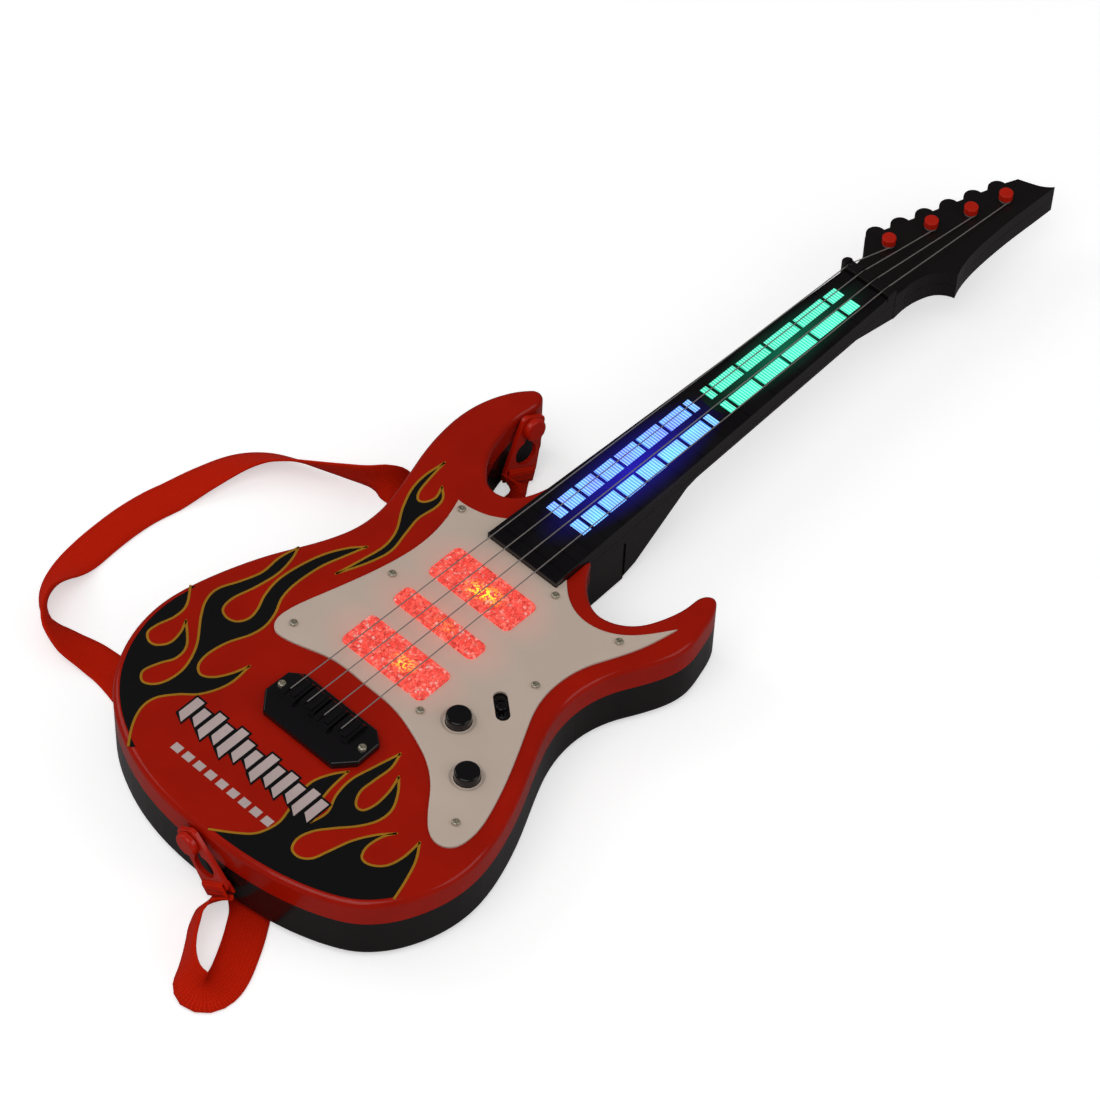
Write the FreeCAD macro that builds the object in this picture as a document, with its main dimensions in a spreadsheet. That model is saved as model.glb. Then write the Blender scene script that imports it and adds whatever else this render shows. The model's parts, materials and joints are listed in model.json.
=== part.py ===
"""Toy electric guitar: light-up plastic body, neck with windows, strings and a shoulder strap.

The guitar lies on its back.  +Z leaves the decorated face, +Y runs along the neck
towards the headstock and +X points to the side with the push buttons.  The pieces are
drawn about the neck's centre line and the bridge, with Z = 0 on the surface the guitar
rests on, and then placed so that the origin is under the middle of the guitar.
"""
import FreeCAD, Part
import math
import os

from FreeCAD import Vector

doc = FreeCAD.newDocument("toy_guitar")

# ---------------------------------------------------------------- driving dimensions (mm)
SIZES = {
    # where the drawing origin lies from the middle of the guitar
    "middle_x": 0.8, "middle_y": 177.7,
    # levels above the surface that the guitar rests on
    "pad_height": 2.0, "seam_level": 24.5, "face_level": 38.0, "guard_level": 39.2,
    "board_level": 42.0, "neck_seam_level": 34.0, "neck_under_level": 26.5,
    "head_level": 38.5, "head_seam_level": 31.0, "head_under_level": 23.0,
    "heel_seam_level": 27.5, "parting": 0.2,
    # shells
    "wall": 2.2, "rim_radius": 3.0, "under_radius": 3.0, "gap": 0.2,
    "boss_radius": 3.2, "pilot_radius": 1.1,
    # neck and fingerboard
    "board_start": 106.0, "board_end": 338.0, "board_start_width": 41.4,
    "board_end_width": 26.8, "board_thick": 2.6, "heel_end": 153.8, "nut_end": 344.5,
    "neck_centre": 0.5,
    # pickguard, pickups, bridge
    "pickup_x": -1.0, "pickup_width": 48.6, "pickup_tall": 20.0, "pickup_slim": 10.6,
    "pickup_corner": 3.0, "pickup_proud": 1.2, "neck_pickup_y": 82.6,
    "mid_pickup_y": 55.9, "bridge_pickup_y": 29.2,
    # controls
    "button_radius": 5.7, "button_proud": 3.9, "button_travel": 1.5,
    "slot_radius": 3.2, "slot_half": 4.8, "knob_radius": 2.3, "knob_travel": 3.0,
    # strings and pegs
    "string_radius": 0.28, "saddle_level": 44.6, "nut_level": 43.3,
    "peg_radius": 3.4, "peg_stem": 2.3, "peg_proud": 5.0,
    # strap fittings
    "strap_peg_radius": 2.6, "strap_head_radius": 5.6, "strap_head_thick": 3.2,
    "clip_thick": 2.2, "clip_width": 20.0, "clip_clear": 0.3,
    "strap_width": 18.0, "strap_thick": 1.2,
}
sheet = doc.addObject("Spreadsheet::Sheet", "sizes")
for row, (alias, value) in enumerate(SIZES.items(), start=1):
    sheet.set("A%d" % row, alias)
    sheet.set("B%d" % row, str(value))
    sheet.setAlias("B%d" % row, alias)
doc.recompute()


def size(alias):
    """A driving dimension's value, read from the sheet."""
    return float(sheet.get(alias))


UP = Vector(0, 0, 1)
TOP_PLATE = 2.0            # thickness of the upper shell's face and of the headstock's
ARC_TOLERANCE = 0.1        # how closely arcs follow a smooth outline
SUB_PARTS = []             # the objects that are written, one file each


# ---------------------------------------------------------------- outlines (mm)
# body rim, from the neck's left side round both horns and the butt to its right side
BODY_RIM = [
    (-20.5, 152.5), (-23.2, 143.3), (-26.6, 135.0), (-32.5, 129.6), (-40.1, 129.0),
    (-47.2, 133.8), (-54.2, 143.3), (-58.4, 156.3), (-59.4, 170.0), (-58.6, 179.5),
    (-60.3, 184.0), (-64.2, 185.6), (-68.0, 183.2), (-73.5, 175.5), (-79.0, 160.0),
    (-79.9, 145.0), (-76.6, 124.0), (-70.8, 104.7), (-66.9, 89.3), (-66.1, 75.8),
    (-68.8, 62.4), (-80.4, 37.4), (-91.9, 6.6), (-96.3, -20.3), (-90.0, -47.3),
    (-74.6, -68.4), (-55.0, -81.0), (-28.0, -89.5), (5.0, -91.5), (33.0, -89.3),
    (61.0, -82.0), (78.5, -72.5), (91.0, -56.0), (97.9, -25.0), (94.2, -5.0),
    (84.0, 21.0), (70.0, 52.0), (67.3, 68.6), (70.3, 87.0), (81.0, 110.0),
    (83.9, 125.0), (80.8, 139.0), (77.0, 149.0), (73.4, 152.2), (70.0, 150.6),
    (67.9, 141.0), (65.0, 128.3), (60.0, 118.0), (52.5, 111.8), (43.0, 109.7),
    (33.0, 114.2), (25.9, 121.2), (21.4, 128.2),
]
# pickguard, in stretches that meet at its corners
GUARD_TOP_LEFT = [(-20.4, 120.6), (-28.0, 115.6), (-36.0, 113.0), (-44.4, 112.4)]
GUARD_ROUND = [
    (-44.4, 112.4), (-41.2, 103.0), (-38.8, 91.0), (-38.6, 78.0), (-41.0, 62.0),
    (-45.0, 46.0), (-50.2, 28.0), (-53.4, 13.0), (-52.4, 6.6), (-48.9, 3.4),
    (-44.0, 3.2), (-21.0, 9.6), (0.0, 10.0), (19.0, 9.0), (33.0, 5.0), (46.0, -0.5),
    (57.0, -9.0), (71.5, -25.0), (79.0, -28.2), (85.2, -25.4), (87.6, -18.0),
    (84.2, 0.0), (76.0, 20.0), (66.0, 40.0), (59.8, 54.0), (57.8, 68.0), (59.4, 81.0),
    (64.0, 93.0), (69.2, 105.0), (72.6, 117.0), (74.4, 126.4),
]
GUARD_TOP_RIGHT = [
    (74.4, 126.4), (68.5, 117.4), (61.0, 108.6), (53.0, 103.6), (44.0, 101.6),
    (35.0, 103.0), (27.0, 107.6), (21.4, 112.8),
]
# headstock: the slanted tuner side, the notched end and the flared foot
HEAD_END = [(21.3, 452.7), (14.6, 447.6), (9.4, 445.6), (5.4, 444.3)]
HEAD_TUNER_SIDE = [(5.4, 444.3), (2.6, 437.5), (-21.4, 363.3), (-13.6, 353.2)]
HEAD_FLARE = [(13.2, 352.0), (15.0, 364.2), (18.6, 370.8), (25.6, 375.2)]
HEAD_RIGHT_SIDE = [(25.6, 375.2), (22.6, 384.5), (20.9, 398.0), (20.4, 425.0), (21.3, 452.7)]

GUARD_SCREWS = [
    (-39.0, 108.9), (24.2, 102.4), (61.4, 103.2), (-34.8, 61.1), (52.0, 60.5),
    (-45.8, 11.5), (26.4, 16.0), (78.1, -15.4),
]
BUTTONS = [(41.4, 24.2), (64.6, 5.4)]
SWITCH = (49.3, 42.4)
SWITCH_ANGLE = -39.5
SHELL_SCREWS = [
    (-70.0, 152.0), (-54.0, 92.0), (-84.0, -20.0), (-42.0, -76.0), (42.0, -76.0),
    (84.0, -30.0), (74.0, 118.0),
]
BRIDGE_SCREWS = [(-24.2, -16.5), (24.2, -16.5)]
PEGS = [(-10.5, 367.6), (-3.7, 390.4), (3.9, 410.6), (9.8, 429.4)]
FIRST_TUNER = (-20.0, 370.0)
TUNER_STEP = (4.3, 12.85)
TUNERS = 6


# ---------------------------------------------------------------- drawing helpers
def line(points):
    """Straight edges through the points."""
    return [
        Part.makeLine(Vector(*a, 0), Vector(*b, 0)) for a, b in zip(points, points[1:])
    ]


def curve(points):
    """Tangent arcs that run smoothly through the points."""
    spline = Part.BSplineCurve()
    spline.interpolate([Vector(x, y, 0) for x, y in points])
    return [arc.toShape() for arc in spline.toBiArcs(ARC_TOLERANCE)]


def face(edges):
    """The flat face inside a closed loop of edges."""
    return Part.Face(Part.Wire(Part.__sortEdges__(edges)))


def rounded(cx, cy, width, tall, radius, angle=0.0):
    """A rectangle with round corners, turned about its middle."""
    wide, high = width / 2, tall / 2
    corners = [(wide, high), (-wide, high), (-wide, -high), (wide, -high)]
    edges = Part.makePolygon([Vector(x, y, 0) for x, y in corners + corners[:1]]).Edges
    flat = Part.Face(Part.Wire(edges))
    solid = flat.extrude(UP)
    if radius:
        solid = solid.makeFillet(radius, [e for e in solid.Edges if upright(e)])
    base = min(solid.Faces, key=lambda f: f.CenterOfMass.z).copy()
    base.rotate(Vector(), UP, angle)
    base.translate(Vector(cx, cy, 0))
    return base


def stadium(cx, cy, half, radius, angle):
    """A slot of two half circles about centres that are 2 * half apart."""
    return rounded(cx, cy, 2 * (half + radius), 2 * radius, radius * 0.999, angle)


def board_half(y):
    """Half the neck's width at a place along it."""
    start, end = size("board_start"), size("board_end")
    share = (y - start) / (end - start)
    width = size("board_start_width") * (1 - share) + size("board_end_width") * share
    return width / 2


def neck_plan(y_low, y_high, grow=0.0):
    """The tapered plan of the neck between two places along it."""
    middle = size("neck_centre")
    low, high = board_half(y_low) + grow, board_half(y_high) + grow
    points = [
        (middle - low, y_low), (middle + low, y_low),
        (middle + high, y_high), (middle - high, y_high), (middle - low, y_low),
    ]
    return face(line(points))


# ---------------------------------------------------------------- document helpers
def shape_of(name, shape):
    """An object that holds a shape made in code."""
    obj = doc.addObject("Part::Feature", name)
    obj.Shape = shape
    return obj


def drawing(name, flat):
    """A flat outline that other objects are raised from."""
    return shape_of(name + "_outline", flat)


def raised(name, flat, low, high):
    """An outline raised between two levels; each may be an expression on the sheet."""
    obj = doc.addObject("Part::Extrusion", name)
    obj.Base = drawing(name, flat)
    obj.DirMode = "Custom"
    obj.Dir = UP
    obj.Solid = True
    obj.setExpression("LengthFwd", "(%s) - (%s)" % (high, low))
    obj.setExpression("Placement.Base.z", "%s" % low)
    return obj


def block(name, low, high):
    """A box between two corners; each number may be an expression on the sheet."""
    obj = doc.addObject("Part::Box", name)
    for axis, side, a, b in zip("xyz", ("Length", "Width", "Height"), low, high):
        obj.setExpression(side, "(%s) - (%s)" % (b, a))
        obj.setExpression("Placement.Base." + axis, "%s" % a)
    return obj


def round_bar(name, x, y, low, high, radius):
    """An upright cylinder."""
    obj = doc.addObject("Part::Cylinder", name)
    obj.setExpression("Radius", "%s" % radius)
    obj.setExpression("Height", "(%s) - (%s)" % (high, low))
    obj.Placement.Base = Vector(x, y, 0)
    obj.setExpression("Placement.Base.z", "%s" % low)
    return obj


def joined(name, parts):
    """Several objects as one."""
    obj = doc.addObject("Part::MultiFuse", name)
    obj.Shapes = parts
    obj.Refine = True
    return obj


def cut(name, base, tools):
    """A base with every tool taken away."""
    obj = doc.addObject("Part::Cut", name)
    obj.Base = base
    obj.Tool = tools[0] if len(tools) == 1 else joined(name + "_tools", tools)
    doc.recompute()
    removed = base.Shape.Volume - obj.Shape.Volume
    if removed <= 0:
        raise RuntimeError("%s: the tools cut nothing" % name)
    return obj


def filleted(name, base, radius, wanted):
    """A fillet on the edges that the test picks."""
    doc.recompute()
    obj = doc.addObject("Part::Fillet", name)
    obj.Base = base
    obj.Edges = [
        (i, radius, radius) for i, e in enumerate(base.Shape.Edges, start=1) if wanted(e)
    ]
    return obj


def group(name, solids):
    """Several equal pieces that share one file."""
    return shape_of(name, Part.makeCompound(solids))


def level(edge, z, tolerance=0.01):
    """True for an edge that lies flat at a level."""
    box = edge.BoundBox
    return abs(box.ZMin - z) < tolerance and abs(box.ZMax - z) < tolerance


def upright(edge):
    """True for a straight edge along Z."""
    return abs(edge.tangentAt(edge.FirstParameter).z) > 0.9


def is_arc(edge):
    """True for a round edge."""
    return isinstance(edge.Curve, Part.Circle)


def keep(obj, label):
    """Marks an object as a sub-part and places it in the guitar's frame."""
    obj.Label = label
    bound = {path.lstrip("."): text for path, text in obj.ExpressionEngine}
    for axis in "xy":
        path = "Placement.Base." + axis
        drawn = bound.get(path, str(getattr(obj.Placement.Base, axis)))
        obj.setExpression(path, "(%s) - sizes.middle_%s" % (drawn, axis))
    SUB_PARTS.append(obj)
    return obj


def screw(x, y, seat, head, shank, radius, direction=1):
    """A pan-head cross screw: head outside the seat, shank into the part."""
    head_radius = 1.9 * radius
    top = Part.makeCylinder(head_radius, head)
    rim = [e for e in top.Edges if abs(e.BoundBox.ZMin - head) < 0.01 and e.Closed]
    top = top.makeFillet(head * 0.6, rim)
    for angle in (0, 90):
        slot = Part.makeBox(1.3 * head_radius, 0.6, head)
        slot.translate(Vector(-0.65 * head_radius, -0.3, head * 0.45))
        slot.rotate(Vector(), UP, angle + 30)
        top = top.cut(slot)
    body = Part.makeCylinder(radius, shank, Vector(0, 0, -shank))
    tip = Part.makeCone(radius * 0.3, radius, radius, Vector(0, 0, -shank - radius))
    whole = top.fuse([body, tip]).removeSplitter()
    if direction < 0:
        whole.rotate(Vector(), Vector(1, 0, 0), 180)
    whole.translate(Vector(x, y, seat))
    return whole


# strap pegs: where each leaves the wall, which way it points, and where its clip hangs
def bearing(turn, rise):
    """The direction at an angle from +X in plan and an angle above the horizontal."""
    turn, rise = math.radians(turn), math.radians(rise)
    return Vector(math.cos(turn) * math.cos(rise), math.sin(turn) * math.cos(rise),
                  math.sin(rise))


def hanging(out, way):
    """The direction closest to a way that is square to a peg's axis."""
    along = way - out * way.dot(out)
    along.normalize()
    return along


PLATE_OUT = 2.0            # from the wall to a strap clip's inner side
COLLAR_THICK = 0.6
PEG_PLAY = 0.05            # between a strap or string peg and its hole
BUTT_OUT = bearing(-90, 0)
BUTT_PEG = {"foot": Vector(1.5, -91.4, 30.5), "out": BUTT_OUT,
            "along": hanging(BUTT_OUT, Vector(0.62, 0, -0.79))}
HORN_OUT = bearing(-6, 10)
HORN_PEG = {"foot": Vector(-59.3, 172.5, 29.0), "out": HORN_OUT,
            "along": hanging(HORN_OUT, Vector(0.12, -0.43, -0.89))}


def peg_bar(name, peg, radius, start, end):
    """A bar along a strap peg's axis."""
    foot = peg["foot"] + peg["out"] * start
    return shape_of(name, Part.makeCylinder(radius, end - start, foot, peg["out"]))


# ---------------------------------------------------------------- body shells
rim_flat = face(curve(BODY_RIM) + line([BODY_RIM[-1], BODY_RIM[0]]))
inner_flat = rim_flat.makeOffset2D(-size("wall"), 0)
if inner_flat.ShapeType != "Face":
    inner_flat = inner_flat.Faces[0]

PICKUPS = {
    "neck": ("neck_pickup_y", "pickup_tall"),
    "middle": ("mid_pickup_y", "pickup_slim"),
    "bridge": ("bridge_pickup_y", "pickup_tall"),
}


def pickup_flat(which, grow):
    """The outline of a pickup window, grown by a margin."""
    place, tall = PICKUPS[which]
    return rounded(
        size("pickup_x"), size(place), size("pickup_width") + 2 * grow,
        size(tall) + 2 * grow, size("pickup_corner") + grow,
    )


GUARD_BOSS = (28.0, 2.6)   # foot level and radius of a boss under a pickguard screw
GUARD_PILOT_FOOT = 30.0
SHELL_PILOT_TOP = 33.0
BRIDGE_PILOT_FOOT = 33.0
BUTTON_ROOM = 7.4          # radius of the face's hole round a push button
SWITCH_ROOM = (6.5, 5.0)   # half the length and the radius of the face's slot
NECK_SLOT_END = 175.0
PICKUP_ROOM = 1.4          # margin of the face's window round a pickup's flange


def upper_bosses():
    """The posts inside the face that take the pickguard's and the shell's screws."""
    foot, radius = GUARD_BOSS
    bosses = [
        round_bar("guard_boss_%d" % i, x, y, foot, "sizes.face_level - 1", radius)
        for i, (x, y) in enumerate(GUARD_SCREWS)
    ]
    bosses += [
        round_bar("shell_boss_%d" % i, x, y, "sizes.seam_level", "sizes.face_level - 1",
                  "sizes.boss_radius")
        for i, (x, y) in enumerate(SHELL_SCREWS)
    ]
    return bosses


def upper_openings():
    """What is taken out of the face: the neck's slot, windows, holes and screw pilots."""
    under, over = "sizes.seam_level", "sizes.face_level + 1"
    slot = neck_plan(size("board_start") - 0.3, NECK_SLOT_END, size("gap"))
    tools = [raised("upper_neck_slot", slot, "sizes.seam_level - 1", over)]
    for which in PICKUPS:
        window = pickup_flat(which, PICKUP_ROOM)
        tools.append(raised("upper_%s_gap" % which, window, under, over))
    for i, (x, y) in enumerate(BUTTONS):
        tools.append(round_bar("upper_button_gap_%d" % i, x, y, under, over, BUTTON_ROOM))
    tools.append(raised("upper_switch_gap", stadium(*SWITCH, *SWITCH_ROOM, SWITCH_ANGLE),
                        under, over))
    for name, spots, low, high in (
            ("guard", GUARD_SCREWS, GUARD_PILOT_FOOT, over),
            ("shell", SHELL_SCREWS, "sizes.seam_level - 1", SHELL_PILOT_TOP),
            ("bridge", BRIDGE_SCREWS, BRIDGE_PILOT_FOOT, over)):
        for i, (x, y) in enumerate(spots):
            tools.append(round_bar("%s_pilot_%d" % (name, i), x, y, low, high,
                                   "sizes.pilot_radius"))
    for name, peg in (("butt", BUTT_PEG), ("horn", HORN_PEG)):
        radius = size("strap_peg_radius") + PEG_PLAY
        tools.append(peg_bar(name + "_peg_hole", peg, radius, -6, 4))
    return tools


def make_upper_shell():
    """The gloss face half, with a soft rim, screw bosses and openings."""
    skin = raised("upper_skin", rim_flat, "sizes.seam_level", "sizes.face_level")
    soft = filleted(
        "upper_soft", skin, size("rim_radius"),
        lambda e: level(e, size("face_level")) and is_arc(e),
    )
    hollow = raised("upper_hollow", inner_flat, "sizes.seam_level - 1",
                    "sizes.face_level - %s" % TOP_PLATE)
    shell = cut("upper_open", soft, [hollow])
    whole = joined("upper_bossed", [shell] + upper_bosses())
    keep(cut("upper_body", whole, upper_openings()), "upper_shell")


SHELL_WELL = 16.0          # level where a shell screw's head sits, inside its post
NECK_WELL = 20.0           # the same for the neck screws
POST_RADIUS = 4.3
WELL_RADIUS = 3.0
SHANK_HOLE = 1.6           # radius of the hole round a screw's shank
SPEAKER = (0.0, -42.0)
SPEAKER_RADIUS = 25.0
SPEAKER_WALL = (3.0, 6.0)  # foot level and height of the wall round the speaker
GRILLE_HOLE = 1.5
GRILLE_PITCH = 5.2
GRILLE_RINGS = 4
BATTERY_LOW = (-27.6, 13.0)
BATTERY_HIGH = (27.6, 73.0)
BATTERY_TOP = 21.4
BAY_WALL = 1.6
BAY_ROOF = 1.4
BATTERY_X = (-16.4, 0.0, 16.4)
BATTERY_LEVEL = 11.7
DOOR_LIP_END = 82.0
DOOR_LIP_TOP = 9.0
DOOR_SCREW = (0.0, 77.5)
NECK_SCREWS = [(-8.0, 142.0), (9.0, 142.0)]
MAIN_BOARD = (-74.0, -40.0, -34.0, -4.0)      # x low, x high, y low, y high
MAIN_BOARD_LEVEL = 12.0
TONGUE_INSET = 0.8         # the heel's tongue is this much narrower than the neck
TONGUE_WALL = 2.2


def board_corners():
    """Where the main board's four posts stand."""
    x_low, x_high, y_low, y_high = MAIN_BOARD
    edge = 3.0
    return [(x, y) for x in (x_low + edge, x_high - edge)
            for y in (y_low + edge, y_high - edge)]


def lower_solids():
    """What stands on the back's floor: posts, bay walls, the door's lip, the speaker's wall."""
    floor_top = "sizes.pad_height + 1"
    solids = []
    for name, spots, top, radius in (
            ("post", SHELL_SCREWS, "sizes.seam_level", POST_RADIUS),
            ("neck_post", NECK_SCREWS, "sizes.heel_seam_level - 0.2", POST_RADIUS),
            ("board_post", board_corners(), MAIN_BOARD_LEVEL, 2.4)):
        for i, (x, y) in enumerate(spots):
            solids.append(round_bar("%s_%d" % (name, i), x, y, floor_top, top, radius))
    solids.append(block("bay_walls", (*BATTERY_LOW, floor_top),
                        (*BATTERY_HIGH, BATTERY_TOP)))
    solids.append(block("door_lip", (BATTERY_LOW[0], BATTERY_HIGH[1] - 3, floor_top),
                        (BATTERY_HIGH[0], DOOR_LIP_END, DOOR_LIP_TOP)))
    foot, tall = SPEAKER_WALL
    ring = Part.makeCylinder(SPEAKER_RADIUS + 2, tall, Vector(*SPEAKER, foot))
    ring = ring.cut(Part.makeCylinder(SPEAKER_RADIUS + 0.3, tall + 3,
                                      Vector(*SPEAKER, foot - 1)))
    solids.append(shape_of("speaker_wall", ring))
    return solids


def grille_holes():
    """The speaker's holes, in rings about its middle."""
    holes = []
    for ring_number in range(GRILLE_RINGS):
        count = max(1, 6 * ring_number)
        reach = GRILLE_PITCH * ring_number
        for k in range(count):
            angle = 2 * math.pi * k / count
            spot = Vector(SPEAKER[0] + reach * math.cos(angle),
                          SPEAKER[1] + reach * math.sin(angle), 1)
            holes.append(Part.makeCylinder(GRILLE_HOLE, 5, spot))
    return shape_of("grille_holes", Part.makeCompound(holes))


def lower_tools():
    """What is taken out of the back: the bay, the door's rebate, screw wells, the grille."""
    tools = [
        block("bay_space", (BATTERY_LOW[0] + BAY_WALL, BATTERY_LOW[1] + BAY_WALL, 1),
              (BATTERY_HIGH[0] - BAY_WALL, BATTERY_HIGH[1] - BAY_WALL,
               BATTERY_TOP - BAY_ROOF)),
        block("door_rebate", (-26.2, 11.0, 1), (26.2, 80.6, 4.1)),
        round_bar("door_pilot", *DOOR_SCREW, 1, 8.2, 1.9),
    ]
    for name, spots, well, end in (("well", SHELL_SCREWS, SHELL_WELL, 26),
                                   ("neck_well", NECK_SCREWS, NECK_WELL, 29)):
        for i, (x, y) in enumerate(spots):
            tools.append(round_bar("%s_%d" % (name, i), x, y, 1, well, WELL_RADIUS))
            tools.append(round_bar("%s_top_%d" % (name, i), x, y, well - 1, end, SHANK_HOLE))
    tools.append(grille_holes())
    return tools


def make_lower_shell():
    """The black back half: posts, battery bay, speaker grille and the heel's tongue."""
    skin = raised("lower_skin", rim_flat, "sizes.pad_height", "sizes.seam_level")
    soft = filleted(
        "lower_soft", skin, size("under_radius"),
        lambda e: level(e, size("pad_height")) and is_arc(e),
    )
    tongue_top = "sizes.heel_seam_level - 0.1"
    tongue = raised("tongue", neck_plan(112, size("heel_end"), -TONGUE_INSET),
                    "sizes.pad_height", tongue_top)
    hollow = raised("lower_hollow", inner_flat, "sizes.pad_height + sizes.wall",
                    "sizes.seam_level + 1")
    bay_plan = neck_plan(100, size("heel_end") - TONGUE_WALL - 0.2,
                         -TONGUE_INSET - TONGUE_WALL)
    bay = raised("tongue_bay", bay_plan, "sizes.pad_height + sizes.wall",
                 "sizes.seam_level")
    shell = cut("lower_open", joined("lower_outer", [soft, tongue]), [hollow, bay])
    lid = raised("tongue_lid", neck_plan(114, size("heel_end"), -TONGUE_INSET),
                 "sizes.seam_level", tongue_top)
    whole = joined("lower_built", [shell, lid] + lower_solids())
    keep(cut("lower_body", whole, lower_tools()), "lower_shell")


def make_pickguard():
    """The white plate with its windows, screwed to the face."""
    start = size("board_start") - 0.2
    notch = [GUARD_TOP_RIGHT[-1], (GUARD_TOP_RIGHT[-1][0], start),
             (GUARD_TOP_LEFT[0][0], start), GUARD_TOP_LEFT[0]]
    flat = face(curve(GUARD_TOP_LEFT) + curve(GUARD_ROUND) + curve(GUARD_TOP_RIGHT)
                + line(notch))
    plate = raised("guard_plate", flat, "sizes.face_level", "sizes.guard_level")
    soft = filleted(
        "guard_soft", plate, 0.6,
        lambda e: level(e, size("guard_level")) and is_arc(e),
    )
    tools = [raised("guard_%s_window" % which, pickup_flat(which, 0.1),
                    "sizes.face_level - 1", "sizes.guard_level + 1") for which in PICKUPS]
    for i, (x, y) in enumerate(BUTTONS):
        tools.append(round_bar("guard_button_%d" % i, x, y, "sizes.face_level - 1",
                               "sizes.guard_level + 1", "sizes.button_radius + 0.25"))
        wide = size("button_radius") + 2.6
        dish = Part.makeCone(wide - 1.6, wide, 0.8, Vector(x, y, size("guard_level") - 0.6))
        tools.append(shape_of("guard_dish_%d" % i, dish))
    slot = stadium(*SWITCH, size("slot_half"), size("slot_radius"), SWITCH_ANGLE)
    tools.append(raised("guard_slot", slot, "sizes.face_level - 1",
                        "sizes.guard_level + 1"))
    for i, (x, y) in enumerate(GUARD_SCREWS):
        tools.append(round_bar("guard_hole_%d" % i, x, y, "sizes.face_level - 1",
                               "sizes.guard_level + 1", "1.3"))
    return keep(cut("guard_open", soft, tools), "pickguard")


def make_pickup_lens(which):
    """A clear tray with round corners and a flange under the pickguard."""
    body = raised(which + "_lens_body", pickup_flat(which, -0.1), "35.4",
                  "sizes.guard_level + sizes.pickup_proud")
    doc.recompute()
    top = size("guard_level") + size("pickup_proud")
    soft = filleted(which + "_lens_soft", body, 0.7, lambda e: level(e, top))
    flange = raised(which + "_lens_flange", pickup_flat(which, 0.9), "35.4", "36.6")
    hollow = raised(which + "_lens_hollow", pickup_flat(which, -1.6), "35",
                    "sizes.guard_level + sizes.pickup_proud - 1.6")
    return keep(cut(which + "_lens", joined(which + "_lens_whole", [soft, flange]),
                    [hollow]), "pickup_lens_" + which)


def make_lights_board():
    """The circuit strip under the pickups and its lamps."""
    keep(block("lights_plate", (-23, 21, 29.4), (21, 92, 31.0)), "pickup_light_board")
    lamps = []
    for place, _ in PICKUPS.values():
        for x in (-12.0, 0.0, 10.0):
            foot = Vector(x + size("pickup_x"), size(place), 31.0)
            lamp = Part.makeCylinder(1.5, 2.4, foot)
            dome = Part.makeSphere(1.5, foot + Vector(0, 0, 2.4))
            lamps.append(lamp.fuse(dome).removeSplitter())
    keep(group("pickup_lamp_set", lamps), "pickup_lamps")


BRIDGE_OUTLINE = [
    (-21.5, -4.8), (-27.6, -9.5), (-28.0, -23.0), (-20.6, -31.6), (20.6, -31.6),
    (28.0, -23.0), (27.6, -9.5), (21.5, -4.8), (-21.5, -4.8),
]
BRIDGE_THICK = 3.4
STRING_SADDLES = [-18.4, -8.3, 1.9, 12.1]     # where each string crosses its saddle
STRING_NUT = [-12.6, -5.2, 2.2, 9.6]          # and the nut
SADDLE_Y = -17.0


def make_bridge_plate():
    """The chamfered plate that carries the saddles."""
    top = size("face_level") + BRIDGE_THICK
    plate = raised("bridge_slab", face(line(BRIDGE_OUTLINE)), "sizes.face_level", top)
    soft = filleted("bridge_soft", plate, 1.2, lambda e: level(e, top) or upright(e))
    holes = [round_bar("bridge_hole_%d" % i, x, y, size("face_level") - 1, top + 1.6, 1.3)
             for i, (x, y) in enumerate(BRIDGE_SCREWS)]
    keep(cut("bridge_open", soft, holes), "bridge_plate")
    screws = [screw(x, y, top, 1.6, 6.0, 1.0) for x, y in BRIDGE_SCREWS]
    keep(group("bridge_screw_set", screws), "bridge_screws")


def make_saddles():
    """Four stepped wedges, each with a groove for its string and a ridge beside it."""
    top = size("face_level") + BRIDGE_THICK
    saddles = []
    for i, x in enumerate(STRING_SADDLES):
        rear = -19.5 if i % 2 else -22.0
        side = [(rear, top), (rear + 1.5, top + 2.0), (-8.5, top + 2.4), (-6.4, top)]
        corners = [Vector(x - 3.4, *corner) for corner in side]
        wedge = Part.Face(Part.makePolygon(corners + corners[:1])).extrude(Vector(9, 0, 0))
        ridge = Part.makeBox(2.2, 11.0, 0.7, Vector(x + 1.9, -19.0, top + 2.0))
        groove = Part.makeBox(1.4, 30.0, 1.6, Vector(x - 0.7, -26.0, top + 1.5))
        saddles.append(wedge.fuse(ridge).cut(groove).removeSplitter())
    keep(group("saddle_set", saddles), "bridge_saddles")


def string_path(number):
    """A string's straight runs: saddle, nut and the foot of its peg."""
    start = Vector(STRING_SADDLES[number], SADDLE_Y, size("saddle_level"))
    nut = Vector(STRING_NUT[number], size("board_end") + 3.2, size("nut_level"))
    peg_x, peg_y = PEGS[number]
    away = size("peg_stem") + size("string_radius") + 0.15
    end = Vector(peg_x + away, peg_y, size("head_level") + 0.7)
    return start, nut, end


def make_strings():
    """Four metal strings: saddle to nut, then down to a turn round the peg."""
    solids = []
    radius = size("string_radius")
    for number in range(len(PEGS)):
        start, nut, end = string_path(number)
        tubes = []
        for a, b in ((start, nut), (nut, end)):
            tubes.append(Part.makeCylinder(radius, (b - a).Length, a, b - a))
        foot = Vector(*PEGS[number], size("head_level") + 0.2)
        turn = Part.makeCylinder(size("peg_stem") + 2 * radius + 0.2, 1.0, foot)
        turn = turn.cut(Part.makeCylinder(size("peg_stem") + 0.2, 3.0, foot - UP * 0.5))
        knee = Part.makeSphere(1.1 * radius, nut)
        solids.append(tubes[0].fuse([tubes[1], knee, turn]).removeSplitter())
    keep(group("string_set", solids), "strings")


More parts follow.
